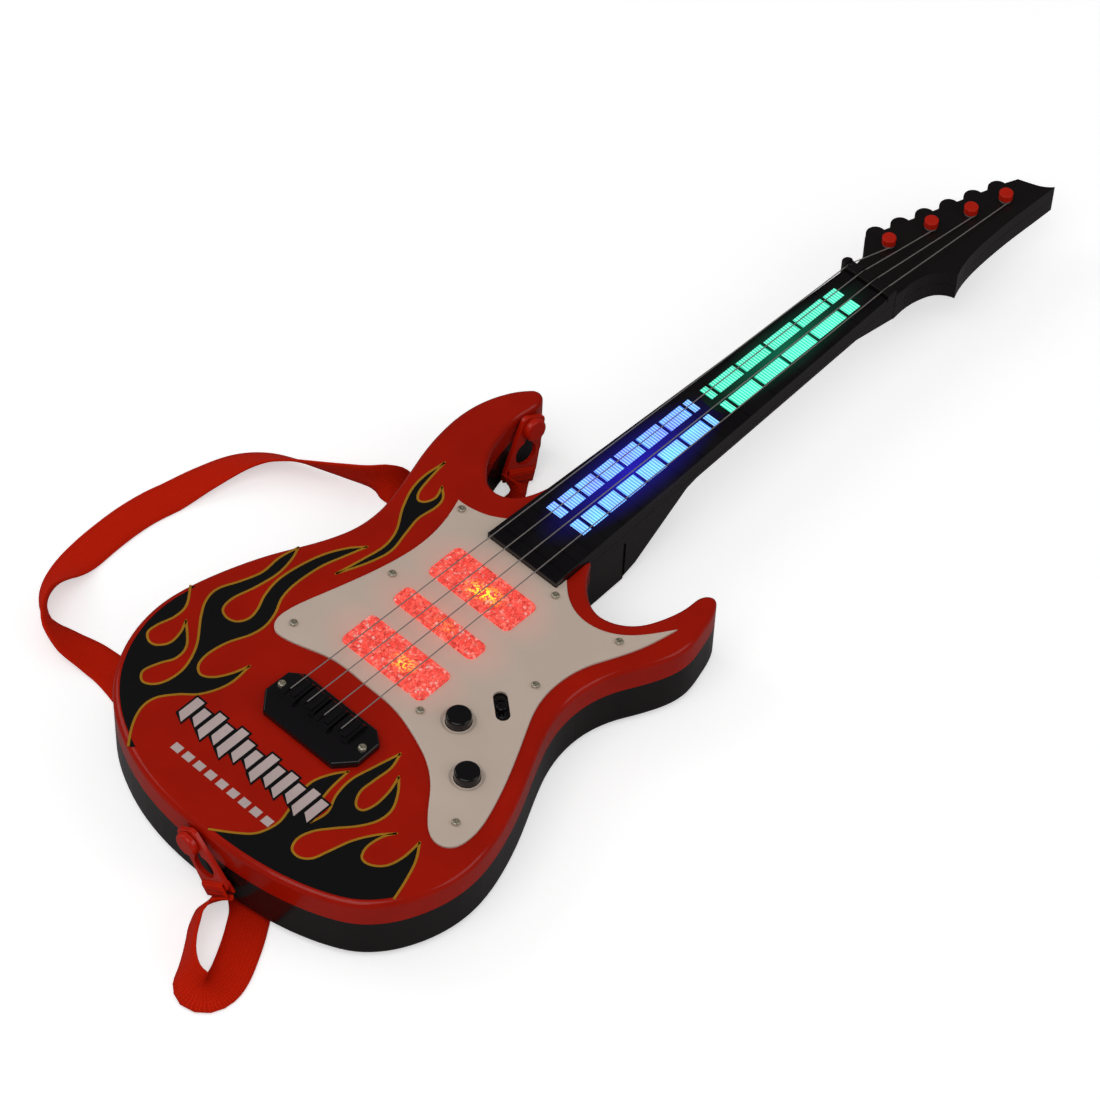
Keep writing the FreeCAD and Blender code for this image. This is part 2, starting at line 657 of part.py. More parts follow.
# ---------------------------------------------------------------- neck and headstock
def fret_y(number):
    """Where a fret bar crosses the board; the spaces grow towards the nut."""
    return 140.7 + 11.1 * number + 0.49 * number * (number - 1)


def window_cells():
    """The light windows of each colour, as (x low, x high, y low, y high)."""
    rows = {"blue": [], "green": []}
    spans = [(fret_y(k) + 0.9, fret_y(k + 1) - 0.9) for k in range(11)]
    blue = [(fret_y(0) - 6.1, fret_y(0) - 0.9)] + spans[:6]
    blue.append((fret_y(6) + 0.9, fret_y(6) + 4.4))
    green = [(fret_y(7) - 4.8, fret_y(7) - 0.9)] + spans[7:]
    green.append((fret_y(11) + 0.9, fret_y(11) + 9.0))
    for colour, cells in (("blue", blue), ("green", green)):
        for low, high in cells:
            half = board_half((low + high) / 2)
            rows[colour].append((-0.60 * half, -0.15 * half, low, high))
            rows[colour].append((0.13 * half, 0.55 * half, low, high))
    return rows


def window_blocks(cells, low, high, margin):
    """A block for each window, shrunk or grown by a margin."""
    return [
        Part.makeBox(x1 - x0 + 2 * margin, y1 - y0 + 2 * margin, high - low,
                     Vector(x0 - margin, y0 - margin, low))
        for x0, x1, y0, y1 in cells
    ]


def head_flat():
    """The outline of the headstock with its neck stub."""
    half = board_half(size("nut_end"))
    middle = size("neck_centre")
    left, right = (middle - half, size("nut_end")), (middle + half, size("nut_end"))
    edges = curve(HEAD_END) + line(HEAD_TUNER_SIDE) + curve(HEAD_FLARE)
    edges += curve(HEAD_RIGHT_SIDE)
    edges += line([HEAD_TUNER_SIDE[-1], left, right, HEAD_FLARE[0]])
    return face(edges)


def tuner_buttons(low, high):
    """The six round tuner shapes along the slanted side, between two levels."""
    bars = []
    for k in range(TUNERS):
        x = FIRST_TUNER[0] + k * TUNER_STEP[0]
        y = FIRST_TUNER[1] + k * TUNER_STEP[1]
        bars.append(round_bar("tuner_%d" % k, x, y, low, high, "4.9"))
    return bars


def head_space(name, low, high):
    """The hollow inside the headstock between two levels."""
    inside = head_flat().makeOffset2D(-2.4, 0)
    flat = inside if inside.ShapeType == "Face" else inside.Faces[0]
    return raised(name, flat, low, high)


NECK_INSET = 0.15          # the neck's mouldings are this much narrower than the board
WINDOW_FOOT = 37.0         # level of the light windows' lower faces
WINDOW_PLAY = 0.1
RAMP_END = 353.0           # where the ramp behind the nut meets the headstock's face
TUNER_TOP = 36.8
TUNER_UNDER = 26.4
STUB = 4.0                 # how far the neck's back reaches into the headstock


def all_windows():
    """The light windows of both colours."""
    return [cell for row in window_cells().values() for cell in row]


def side_profile(name, points, x_low, x_high):
    """A shape with one side view all the way across, from its (y, z) corners."""
    corners = [Vector(x_low, y, z) for y, z in points]
    outline = Part.Face(Part.makePolygon(corners + corners[:1]))
    return shape_of(name, outline.extrude(Vector(x_high - x_low, 0, 0)))


def make_neck_front():
    """The front moulding: the strip under the board, a ramp and the headstock's face."""
    nut_end, middle = size("nut_end"), size("neck_centre")
    low = "sizes.neck_seam_level + sizes.parting"
    head_low = "sizes.head_seam_level + sizes.parting"
    bar = raised("neck_front_bar", neck_plan(size("board_start"), nut_end, -NECK_INSET),
                 low, "sizes.board_level - sizes.board_thick")
    head = raised("head_front_plate", head_flat(), head_low, "sizes.head_level")
    half = board_half(nut_end) - NECK_INSET
    under = size("neck_seam_level") + size("parting")
    top = size("board_level") - size("board_thick")
    ramp_side = [(nut_end - 1, under), (nut_end - 1, top), (nut_end + 1, top),
                 (RAMP_END, size("head_level")), (RAMP_END, under)]
    ramp = side_profile("head_ramp", ramp_side, middle - half, middle + half)
    front = joined("neck_front_solid",
                   [bar, head, ramp] + tuner_buttons(head_low, TUNER_TOP))
    slots = window_blocks(all_windows(), WINDOW_FOOT, 41.0, WINDOW_PLAY)
    tools = [
        shape_of("neck_front_slots", Part.makeCompound(slots)),
        raised("neck_channel", neck_plan(126, 332, -3.0), 33, WINDOW_FOOT + 0.2),
        head_space("head_front_space", 30, 36.4),
    ]
    for i, (x, y) in enumerate(PEGS):
        tools.append(round_bar("peg_hole_%d" % i, x, y, 30, 40,
                               "sizes.peg_stem + %s" % PEG_PLAY))
    for i, (x, y) in enumerate(NECK_SCREWS):
        tools.append(round_bar("neck_screw_hole_%d" % i, x, y, 33, 35, 1.4))
    keep(cut("neck_front_open", front, tools), "neck_front")


def neck_side():
    """The back moulding's side view: heel, swept underside and the headstock's stub."""
    seam, head_seam = size("neck_seam_level"), size("head_seam_level")
    heel_top = size("heel_seam_level") + 0.1
    heel_end = size("heel_end") + 0.1
    under, head_under = size("neck_under_level"), size("head_under_level") + 0.1
    nut_end, stub_end = size("nut_end"), size("nut_end") + STUB + 1
    return [
        (112.0, seam), (112.0, heel_top), (heel_end, heel_top), (heel_end, 2.0),
        (159.0, 2.0), (163.0, 3.2), (197.0, 25.2), (203.0, under), (332.0, under),
        (nut_end, head_under), (stub_end, head_under), (stub_end, head_seam),
        (nut_end - size("parting"), head_seam), (nut_end - size("parting"), seam),
    ]


def is_neck_under_edge(edge):
    """True for the two long lower edges of the neck, clear of its ends."""
    box = edge.BoundBox
    long_way = box.YMax - box.YMin > 3 * (box.XMax - box.XMin) and box.YMax > 160
    return long_way and box.ZMax < 27 and box.XMax - box.XMin < 15 and box.YMin < 320


def make_neck_back():
    """The back moulding: the swept heel, the round underside and the headstock's back."""
    rough = doc.addObject("Part::Common", "neck_back_rough")
    rough.Base = side_profile("neck_back_side", neck_side(), -30, 30)
    rough.Tool = raised("neck_back_plan",
                        neck_plan(112, size("nut_end") + STUB, -NECK_INSET), 0,
                        "sizes.neck_seam_level")
    soft = filleted("neck_back_soft", rough, 5.5, is_neck_under_edge)
    head_back = raised("head_back_plate", head_flat(), "sizes.head_under_level",
                       "sizes.head_seam_level")
    back = joined("neck_back_solid", [soft, head_back]
                  + tuner_buttons(TUNER_UNDER, "sizes.head_seam_level"))
    tools = [
        raised("neck_back_channel", neck_plan(118, 340, -3.4), 29.4, 35),
        head_space("head_back_space", 25, 32),
    ]
    for i, (x, y) in enumerate(NECK_SCREWS):
        tools.append(round_bar("neck_pilot_%d" % i, x, y, 27, 35, 1.2))
    keep(cut("neck_back_open", back, tools), "neck_back")


FRET_HIGH = 0.6
FRET_SUNK = 0.35
FRET_WIDE = 0.7


def make_fingerboard():
    """The board with its moulded fret bars and the openings for the windows."""
    plan = neck_plan(size("board_start"), size("board_end"))
    board = raised("board_plate", plan, "sizes.board_level - sizes.board_thick",
                   "sizes.board_level")
    soft = filleted("board_soft", board, 0.5, lambda e: level(e, size("board_level")))
    frets = []
    for k in range(-3, 12):
        half = board_half(fret_y(k)) - 0.6
        corner = Vector(size("neck_centre") - half, fret_y(k) - FRET_WIDE / 2,
                        size("board_level") - FRET_SUNK)
        frets.append(Part.makeBox(2 * half, FRET_WIDE, FRET_HIGH, corner))
    bars = shape_of("fret_bars", Part.makeCompound(frets))
    openings = window_blocks(all_windows(), 39.0, 43.0, WINDOW_PLAY)
    windows = shape_of("board_windows", Part.makeCompound(openings))
    keep(cut("board_open", joined("board_fretted", [soft, bars]), [windows]),
         "fingerboard")


LAMP_STRIP = (34.4, 35.6)    # levels of the circuit strip inside the neck


def make_neck_lights():
    """The light windows, and the circuit strip and lamps below them."""
    for colour, row in window_cells().items():
        blocks = window_blocks(row, WINDOW_FOOT, size("board_level") - 0.2, 0.0)
        keep(group(colour + "_window_set", blocks), colour + "_light_windows")
    keep(raised("light_strip_plate", neck_plan(128, 330, -4.5), *LAMP_STRIP),
         "neck_light_board")
    long, wide, thick = 2.8, 2.0, 0.9
    chips = []
    for x0, x1, y0, y1 in all_windows():
        corner = Vector((x0 + x1 - long) / 2, (y0 + y1 - wide) / 2, LAMP_STRIP[1])
        chips.append(Part.makeBox(long, wide, thick, corner))
    keep(group("chip_set", chips), "neck_lamps")


NUT_TOP = 43.9
NUT_KNOB = (341.4, 2.9, 36.6, 44.6)           # y, radius and levels of the nut's knob


def nut_grooves():
    """The room each string needs across the nut, to its saddle and to its peg."""
    radius = size("string_radius")
    grooves = []
    for number in range(len(PEGS)):
        saddle, nut, end = string_path(number)
        for other in (saddle, end):
            way = other - nut
            way.normalize()
            grooves.append(Part.makeCylinder(radius + 0.1, 8, nut, way))
        grooves.append(Part.makeSphere(radius + 0.15, nut))
        grooves.append(Part.makeBox(1.1, 12, 3, nut + Vector(-0.55, -6, 0)))
    return shape_of("nut_slots", grooves[0].fuse(grooves[1:]))


def make_nut():
    """The bar that the strings cross at the board's end, with a knob at its left."""
    middle, half = size("neck_centre"), board_half(size("board_end")) + 0.2
    foot = size("board_level") - size("board_thick")
    bar = block("nut_bar", (middle - half, "sizes.board_end + 0.05", foot),
                (middle + half, "sizes.nut_end - 0.5", NUT_TOP))
    soft = filleted("nut_soft", bar, 0.9, lambda e: level(e, NUT_TOP))
    knob_y, radius, low, high = NUT_KNOB
    knob = round_bar("nut_knob", middle - half - 0.6, knob_y, low, high, radius)
    soft_knob = filleted("nut_knob_soft", knob, 0.9, lambda e: level(e, high))
    clear = block("nut_neck_clear", (middle - half + 0.25, "sizes.board_end - 1", 36.0),
                  (middle + half - 0.25, "sizes.nut_end + 1.5", foot))
    keep(cut("nut_open", joined("nut_whole", [soft, soft_knob]),
             [nut_grooves(), clear]), "nut")


def make_pegs():
    """Four plain red string pegs that turn in the headstock, each with its washer below."""
    stem_r, head_r = size("peg_stem"), size("peg_radius")
    under = size("head_level") + 1.4
    top = size("head_level") + size("peg_proud")
    for number, (x, y) in enumerate(PEGS, start=1):
        stem = Part.makeCylinder(stem_r, under - 33.0, Vector(0, 0, 33.0))
        knob = Part.makeCylinder(head_r, top - under, Vector(0, 0, under))
        knob = knob.makeFillet(0.5, [e for e in knob.Edges if level(e, top)])
        washer = Part.makeCylinder(stem_r + 1.8, 1.2, Vector(0, 0, 34.9))
        obj = shape_of("peg_turned_%d" % number, stem.fuse([knob, washer]).removeSplitter())
        obj.Placement.Base = Vector(x, y, 0)
        keep(obj, "string_peg_%d" % number)


# ---------------------------------------------------------------- controls
CONTROL_BOARD_TOP = 30.4
CONTROL_BOARD_THICK = 1.6
BUTTON_FOOT = 35.0
CAN_HIGH = 3.4             # height of a button's tact switch


def make_buttons():
    """Two sprung push buttons, held by a flange under the face."""
    radius = size("button_radius")
    top = size("guard_level") + size("button_proud")
    low = CONTROL_BOARD_TOP + CAN_HIGH + size("button_travel") + 0.3
    for number, (x, y) in enumerate(BUTTONS, start=1):
        cap = Part.makeCylinder(radius, top - BUTTON_FOOT, Vector(x, y, BUTTON_FOOT))
        cap = cap.makeFillet(1.0, [e for e in cap.Edges if level(e, top)])
        flange = Part.makeCylinder(radius + 1.1, 1.2, Vector(x, y, BUTTON_FOOT + 1.4))
        stem = Part.makeCylinder(2.0, BUTTON_FOOT + 1.5 - low, Vector(x, y, low))
        well = Part.makeCylinder(radius - 1.4, 1.4, Vector(x, y, BUTTON_FOOT))
        whole = cap.cut(well).fuse([flange, stem]).removeSplitter()
        keep(shape_of("button_%d_whole" % number, whole), "push_button_%d" % number)


def make_control_board():
    """The board under the controls, with two tact switches and the slide switch's body."""
    top = CONTROL_BOARD_TOP
    keep(block("control_plate", (33, -4, top - CONTROL_BOARD_THICK), (68, 50, top)),
         "control_board")
    cans = [Part.makeBox(6, 6, CAN_HIGH, Vector(x - 3, y - 3, top)) for x, y in BUTTONS]
    slide = Part.makeBox(12, 6, 2.6, Vector(-6, -3, 0))
    slide.rotate(Vector(), UP, SWITCH_ANGLE)
    slide.translate(Vector(*SWITCH, top))
    keep(group("switch_can_set", cans + [slide]), "control_switches")


KNOB_FOOT = 33.3
KNOB_UNDER = 37.2
KNOB_TOP = 39.4
SWITCH_PLATE = (35.6, 37.0)    # levels of the dark plate under the switch's slot


def make_switch():
    """The slide switch's dark plate and its round knob."""
    radius = size("knob_radius")
    tray = stadium(*SWITCH, size("slot_half") + 0.5, size("slot_radius") + 0.9,
                   SWITCH_ANGLE)
    plate = raised("switch_tray", tray, *SWITCH_PLATE)
    way = stadium(*SWITCH, size("knob_travel") + 0.4, radius - 0.6, SWITCH_ANGLE)
    track = raised("switch_track", way, SWITCH_PLATE[0] - 0.6, SWITCH_PLATE[1] + 1)
    keep(cut("switch_tray_open", plate, [track]), "switch_plate")
    stem = Part.makeCylinder(radius - 0.9, 5.5, Vector(*SWITCH, KNOB_FOOT))
    cap = Part.makeCylinder(radius, KNOB_TOP - KNOB_UNDER, Vector(*SWITCH, KNOB_UNDER))
    cap = cap.makeFillet(0.5, [e for e in cap.Edges if level(e, KNOB_TOP)])
    dimple = Part.makeCylinder(1.1, 0.6, Vector(*SWITCH, KNOB_TOP - 0.5))
    knob = stem.fuse(cap).cut(dimple).removeSplitter()
    keep(shape_of("knob_whole", knob), "switch_knob")


# ---------------------------------------------------------------- inside the body
CELL_RADIUS = 7.1
CELL_FOOT = 16.6           # where the batteries start along Y
CELL_CAN = 49.0
CELL_TIP = 1.0
CONTACT_ENDS = (14.7, 71.2)
CONTACT_THICK = 0.5


def make_batteries():
    """Three cells that lie side by side, every other one the other way round."""
    cells = []
    for i, x in enumerate(BATTERY_X):
        can = Part.makeCylinder(CELL_RADIUS, CELL_CAN, Vector(x, CELL_FOOT, BATTERY_LEVEL),
                                Vector(0, 1, 0))
        tip_y = CELL_FOOT - CELL_TIP if i % 2 else CELL_FOOT + CELL_CAN
        tip = Part.makeCylinder(2.7, CELL_TIP, Vector(x, tip_y, BATTERY_LEVEL),
                                Vector(0, 1, 0))
        cells.append(can.fuse(tip).removeSplitter())
    keep(group("battery_set", cells), "batteries")


def make_contacts():
    """A flat tab at each end of each cell, and a spring at the far end."""
    near, far = CONTACT_ENDS
    spring_y = far - CONTACT_THICK
    contacts = []
    for i, x in enumerate(BATTERY_X):
        for y in (near, spring_y):
            contacts.append(Part.makeBox(10, CONTACT_THICK, 12, Vector(x - 5, y, 5.7)))
        reach = spring_y - CELL_FOOT - CELL_CAN - (0.0 if i % 2 else CELL_TIP)
        contacts.append(Part.makeCone(3.6, 2.0, reach - 0.05,
                                      Vector(x, spring_y, BATTERY_LEVEL),
                                      Vector(0, -1, 0)))
    keep(group("contact_set", contacts), "battery_contacts")


SPEAKER_FOOT = 4.2
SPEAKER_RIM = 1.4
BASKET_TALL = 8.0


def make_speaker():
    """The speaker over the grille: a steel frame, a paper cone and the magnet."""
    radius, foot = SPEAKER_RADIUS, SPEAKER_FOOT
    rim = Part.makeCylinder(radius, SPEAKER_RIM, Vector(*SPEAKER, foot))
    basket = Part.makeCone(radius - 2, 14, BASKET_TALL,
                           Vector(*SPEAKER, foot + SPEAKER_RIM))
    inside = Part.makeCone(radius - 3.2, 12.8, BASKET_TALL, Vector(*SPEAKER, foot + 1))
    opening = Part.makeCylinder(radius - 3.2, 2.0, Vector(*SPEAKER, foot - 0.8))
    frame = rim.fuse(basket).cut(inside.fuse(opening)).removeSplitter()
    keep(shape_of("speaker_basket", frame), "speaker_frame")
    cone = Part.makeCone(radius - 3.6, 7.0, 6.0, Vector(*SPEAKER, foot + 1))
    hollow = Part.makeCone(radius - 4.2, 6.4, 6.0, Vector(*SPEAKER, foot + 0.6))
    keep(shape_of("speaker_paper", cone.cut(hollow)), "speaker_cone")
    magnet_foot = foot + SPEAKER_RIM + BASKET_TALL
    magnet = Part.makeCylinder(13.0, 6.5, Vector(*SPEAKER, magnet_foot))
    keep(shape_of("speaker_motor", magnet), "speaker_magnet")


def make_main_board():
    """The main circuit board with its sealed chip and three tall parts."""
    x_low, x_high, y_low, y_high = MAIN_BOARD
    top = MAIN_BOARD_LEVEL + 1.6
    keep(block("main_plate", (x_low, y_low, MAIN_BOARD_LEVEL), (x_high, y_high, top)),
         "main_board")
    middle = Vector((x_low + x_high) / 2, (y_low + y_high) / 2, top)
    above = Part.makeBox(20, 20, 5, middle - Vector(10, 10, 0))
    parts = [
        Part.makeSphere(7.0, middle - UP * 5.4).common(above),
        Part.makeCylinder(3.0, 7.0, middle + Vector(-12, 8, 0)),
        Part.makeCylinder(2.5, 6.0, middle + Vector(-12, -8, 0)),
        Part.makeBox(9, 4, 5, middle + Vector(6, 8, 0)),
    ]
    keep(group("main_chip_set", parts), "main_board_parts")


DOOR_HALF = 25.9
DOOR_ENDS = (13.1, 80.3)
DOOR_LEVELS = (2.1, 3.9)
HINGE_RADIUS = 0.9


def make_battery_door():
    """The battery door with its hinge rod, and the screw that holds it shut."""
    (near, far), (low, high) = DOOR_ENDS, DOOR_LEVELS
    plate = block("door_plate", (-DOOR_HALF, near, low), (DOOR_HALF, far, high))
    rod = Part.makeCylinder(HINGE_RADIUS, 2 * DOOR_HALF,
                            Vector(-DOOR_HALF, near, low + HINGE_RADIUS),
                            Vector(1, 0, 0))
    door = joined("door_whole", [plate, shape_of("door_hinge_rod", rod)])
    hole = round_bar("door_hole", *DOOR_SCREW, low - 1, high + 1, 1.3)
    keep(cut("door_open", door, [hole]), "battery_door")
    keep(group("door_screw_one", [screw(*DOOR_SCREW, low, 1.2, 4.4, 1.15, -1)]),
         "battery_door_screw")


def make_fasteners():
    """The three sets of cross screws."""
    for label, spots, seat, head, shank, radius, way in (
            ("pickguard_screws", GUARD_SCREWS, size("guard_level"), 1.4, 5.5, 1.0, 1),
            ("shell_screws", SHELL_SCREWS, SHELL_WELL, 1.6, 14.0, 1.0, -1),
            ("neck_screws", NECK_SCREWS, NECK_WELL, 1.6, 11.5, 1.1, -1)):
        screws = [screw(x, y, seat, head, shank, radius, way) for x, y in spots]
        keep(group(label + "_set", screws), label)


PADS = [(-78.0, 5.0), (72.0, -42.0), (-62.0, 112.0), (68.0, 112.0), (0.5, 146.0)]


def make_pads():
    """Soft rest pads under the body."""
    pads = []
    for x, y in PADS:
        pad = Part.makeCylinder(5.0, size("pad_height"), Vector(x, y, 0))
        pads.append(pad.makeFillet(0.8, [e for e in pad.Edges if level(e, 0.0)]))
    keep(group("pad_set", pads), "rest_pads")


# ---------------------------------------------------------------- strap
# the webbing's way along the ground: x, y, its tilt from lying flat in degrees, and how far
# its lower edge is lifted
WEBBING = [
    (20.2, -97.6, 40, 1.0), (18.2, -103.5, 60, 0.6), (20.0, -109.5, 68, 0.3),
    (23.6, -115.8, 70, 0), (28.0, -122.0, 70, 0), (32.8, -128.0, 64, 0),
    (37.8, -132.4, 48, 0), (43.2, -133.6, 27, 0), (47.3, -130.6, 10, 0),
    (48.6, -124.8, 2, 0), (46.8, -117.5, 0, 0), (42.0, -107.8, 0, 0),
    (35.4, -96.8, 0, 0), (27.0, -86.4, 0, 0), (10.0, -76.0, 0, 0),
    (-14.0, -67.0, 0, 0), (-40.0, -58.0, 0, 0), (-70.0, -50.0, 0, 0),
    (-100.0, -43.5, 0, 0), (-115.0, -43.5, 4, 0), (-129.0, -46.5, 22, 0),
    (-139.0, -47.0, 52, 0), (-147.0, -43.0, 90, 0.5), (-153.5, -35.0, 122, 0),
    (-158.5, -23.0, 156, 0), (-162.0, -8.0, 178, 0), (-163.5, 11.0, 180, 0),
    (-163.0, 28.0, 180, 0), (-160.0, 44.0, 180, 0), (-155.7, 62.0, 168, 0.4),
    (-150.5, 77.0, 157, 0.7), (-142.5, 87.5, 144, 0.9), (-132.0, 94.5, 132, 1.0),
    (-121.0, 100.0, 122, 1.0), (-109.5, 106.0, 111, 0.8), (-98.5, 112.2, 96, 0.4),
    (-91.5, 116.2, 60, 0), (-86.0, 119.6, 26, 0), (-80.5, 123.0, 4, 0),
    (-72.0, 128.5, 0, 0), (-60.0, 134.0, 0, 0), (-52.4, 138.2, 0, 0),
    (-47.6, 143.2, -11, 0), (-46.6, 147.6, -36, 0), (-50.4, 151.6, -62, 0),
]
CLIP_LONG = 25.0           # from the peg to the clip's far end
CLIP_BACK = 6.0            # from the peg to the clip's near end
SLOT_AT = 21.5             # from the peg to the webbing slot
LOOP_END = 27.5            # how far the sewn webbing loop reaches past the peg
LOOP_WIDTH = 16.0


def clip_frame(peg, lift=0.0):
    """The placement that turns clip coordinates (along, across, out) into the drawing's."""
    out, along = peg["out"], peg["along"]
    turn = FreeCAD.Rotation(along, out.cross(along), out, "XYZ")
    return FreeCAD.Placement(peg["foot"] + out * lift, turn)


def make_strap_peg(name, peg):
    """A mushroom peg held in the shell wall."""
    stem, head, clear = size("strap_peg_radius"), size("strap_head_radius"), size("clip_clear")
    thick = size("strap_head_thick")
    under = PLATE_OUT + size("clip_thick") + clear
    bar = Part.makeCylinder(stem, under + 5, Vector(0, 0, -4.5))
    cap = Part.makeCylinder(head, thick, Vector(0, 0, under))
    cap = cap.makeFillet(0.45 * thick, [e for e in cap.Edges if level(e, under + thick)])
    collar = Part.makeCylinder(stem + 1.4, COLLAR_THICK,
                               Vector(0, 0, PLATE_OUT - clear - COLLAR_THICK))
    obj = shape_of(name + "_turned", bar.fuse([cap, collar]).removeSplitter())
    obj.Placement = clip_frame(peg)
    keep(obj, name)


def make_clip(name, peg):
    """A plastic clip: a keyhole for the peg's head and a slot for the webbing."""
    thick, clear = size("clip_thick"), size("clip_clear")
    half = size("clip_width") / 2
    points = [(-CLIP_BACK, -half * 0.65), (CLIP_LONG, -half), (CLIP_LONG, half),
              (-CLIP_BACK, half * 0.65), (-CLIP_BACK, -half * 0.65)]
    plate = face(line(points)).extrude(Vector(0, 0, thick))
    plate = plate.makeFillet(3.0, [e for e in plate.Edges if upright(e)])
    plate = plate.makeFillet(0.5, [e for e in plate.Edges if level(e, thick)])
    entry_radius = size("strap_head_radius") + clear
    entry_at = SLOT_AT - 2.6 - entry_radius
    seat = Part.makeCylinder(size("strap_peg_radius") + clear, thick + 2, Vector(0, 0, -1))
    entry = Part.makeCylinder(entry_radius, thick + 2, Vector(entry_at, 0, -1))
    slit = Part.makeBox(entry_at, 5.0, thick + 2, Vector(0, -2.5, -1))
    slot = Part.makeBox(2.4, LOOP_WIDTH + 0.6, thick + 2,
                        Vector(SLOT_AT - 1.2, -LOOP_WIDTH / 2 - 0.3, -1))
    obj = shape_of(name + "_moulding", plate.cut([seat, entry, slit, slot]).removeSplitter())
    obj.Placement = clip_frame(peg, PLATE_OUT)
    keep(obj, name)


def make_loop(name, peg):
    """The webbing sewn round the clip's end bar."""
    thick, clear = size("strap_thick"), size("clip_clear")
    tall = size("clip_thick") + 2 * clear + 2 * thick
    start = SLOT_AT - thick / 2
    outer = Part.makeBox(LOOP_END - start, LOOP_WIDTH, tall,
                         Vector(start, -LOOP_WIDTH / 2, 0))
    inner = Part.makeBox(LOOP_END - start - 2 * thick, LOOP_WIDTH + 2, tall - 2 * thick,
                         Vector(start + thick, -LOOP_WIDTH / 2 - 1, thick))
    obj = shape_of(name + "_sewn", outer.cut(inner))
    obj.Placement = clip_frame(peg, PLATE_OUT - clear - thick)
    keep(obj, name)


def make_webbing():
    """The strap on the ground, as straight lengths between rectangular sections."""
    half, thick = size("strap_width") / 2, size("strap_thick") / 2
    sections = []
    middles = []
    for x, y, tilt, lift in WEBBING:
        turn = math.radians(tilt)
        rest = half * abs(math.sin(turn)) + thick * abs(math.cos(turn)) + 0.35
        middles.append(Vector(x, y, rest + lift))
    for i, middle in enumerate(middles):
        heading = middles[min(len(middles) - 1, i + 1)] - middles[max(0, i - 1)]
        heading.normalize()
        side = UP.cross(heading)
        side.normalize()
        rise = heading.cross(side)
        turn = math.radians(WEBBING[i][2])
        width = side * math.cos(turn) + rise * math.sin(turn)
        depth = heading.cross(width)
        corners = [middle + width * (a * half) + depth * (b * thick)
                   for a, b in ((1, 1), (-1, 1), (-1, -1), (1, -1))]
        sections.append(Part.makePolygon(corners + corners[:1]))
    keep(shape_of("webbing_strip", Part.makeLoft(sections, True, True)), "strap_webbing")


def make_strap():
    """Both strap pegs, both clips, the sewn loops and the webbing between them."""
    for end, peg in (("butt", BUTT_PEG), ("horn", HORN_PEG)):
        make_strap_peg("strap_peg_" + end, peg)
        make_clip("strap_clip_" + end, peg)
        make_loop("strap_loop_" + end, peg)
    make_webbing()


# ---------------------------------------------------------------- build
for which in PICKUPS:
    make_pickup_lens(which)
for build in (
        make_upper_shell, make_lower_shell, make_pickguard, make_lights_board,
        make_bridge_plate, make_saddles, make_strings,
        make_neck_front, make_neck_back, make_fingerboard, make_neck_lights, make_nut,
        make_pegs, make_buttons, make_control_board, make_switch,
        make_batteries, make_contacts, make_speaker, make_main_board, make_battery_door,
        make_fasteners, make_pads, make_strap):
    build()

# ---------------------------------------------------------------- check and write
doc.recompute()
for obj in doc.Objects:
    if {"Invalid", "Error"} & set(obj.State):
        raise RuntimeError("%s failed: %s" % (obj.Name, obj.State))
os.makedirs("parts", exist_ok=True)
unsound = []
for obj in SUB_PARTS:
    shape = obj.Shape
    whole = bool(shape.Solids) and all(shell.isClosed() for shell in shape.Shells)
    if not whole or not shape.isValid():
        unsound.append(obj.Label)
        continue
    shape.exportStep("parts/%s.step" % obj.Label)
    box = shape.BoundBox
    print("%-24s %3d solid(s) %9.1f mm3  x %.1f..%.1f  y %.1f..%.1f  z %.1f..%.1f" % (
        obj.Label, len(shape.Solids), shape.Volume, box.XMin, box.XMax, box.YMin,
        box.YMax, box.ZMin, box.ZMax))
if unsound:
    raise RuntimeError("no sound shape: %s" % ", ".join(unsound))
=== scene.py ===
"""Toy electric guitar on a pale floor: finishes, printed flames, light windows and the strap."""

import json
import math

import bmesh
import bpy
from mathutils import Matrix, Vector
from mathutils.geometry import tessellate_polygon


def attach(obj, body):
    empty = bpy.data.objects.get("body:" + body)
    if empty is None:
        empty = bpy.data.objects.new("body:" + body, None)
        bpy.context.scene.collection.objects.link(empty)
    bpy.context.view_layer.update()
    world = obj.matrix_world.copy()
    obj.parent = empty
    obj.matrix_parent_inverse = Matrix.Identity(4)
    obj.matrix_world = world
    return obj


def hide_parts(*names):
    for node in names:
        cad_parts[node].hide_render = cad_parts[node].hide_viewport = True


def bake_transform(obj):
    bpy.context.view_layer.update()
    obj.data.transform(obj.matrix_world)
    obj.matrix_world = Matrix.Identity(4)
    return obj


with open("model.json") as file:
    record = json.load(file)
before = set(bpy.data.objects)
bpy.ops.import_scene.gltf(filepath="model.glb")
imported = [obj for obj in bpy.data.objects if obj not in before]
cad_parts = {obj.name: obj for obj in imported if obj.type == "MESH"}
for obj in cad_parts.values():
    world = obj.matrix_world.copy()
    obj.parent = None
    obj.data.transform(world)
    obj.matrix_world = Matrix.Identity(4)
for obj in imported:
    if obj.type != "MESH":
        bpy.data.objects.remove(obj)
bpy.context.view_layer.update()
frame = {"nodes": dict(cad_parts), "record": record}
NODES = frame["nodes"]

MM = 0.001
MIDDLE = (0.8, 177.7)        # where the drawings' origin lies from the middle of the guitar
FACE = 38.0                  # level of the red face above the floor
PRINT = 0.05                 # height of printed ink above its face
FLAT_TOLERANCE = 0.00002     # metres within which two heights count as one level


# ---------------------------------------------------------------- meshes
def place(x, y, z):
    """A point of the drawings, in millimetres, as a point of the frame."""
    return Vector(((x - MIDDLE[0]) * MM, (y - MIDDLE[1]) * MM, z * MM))


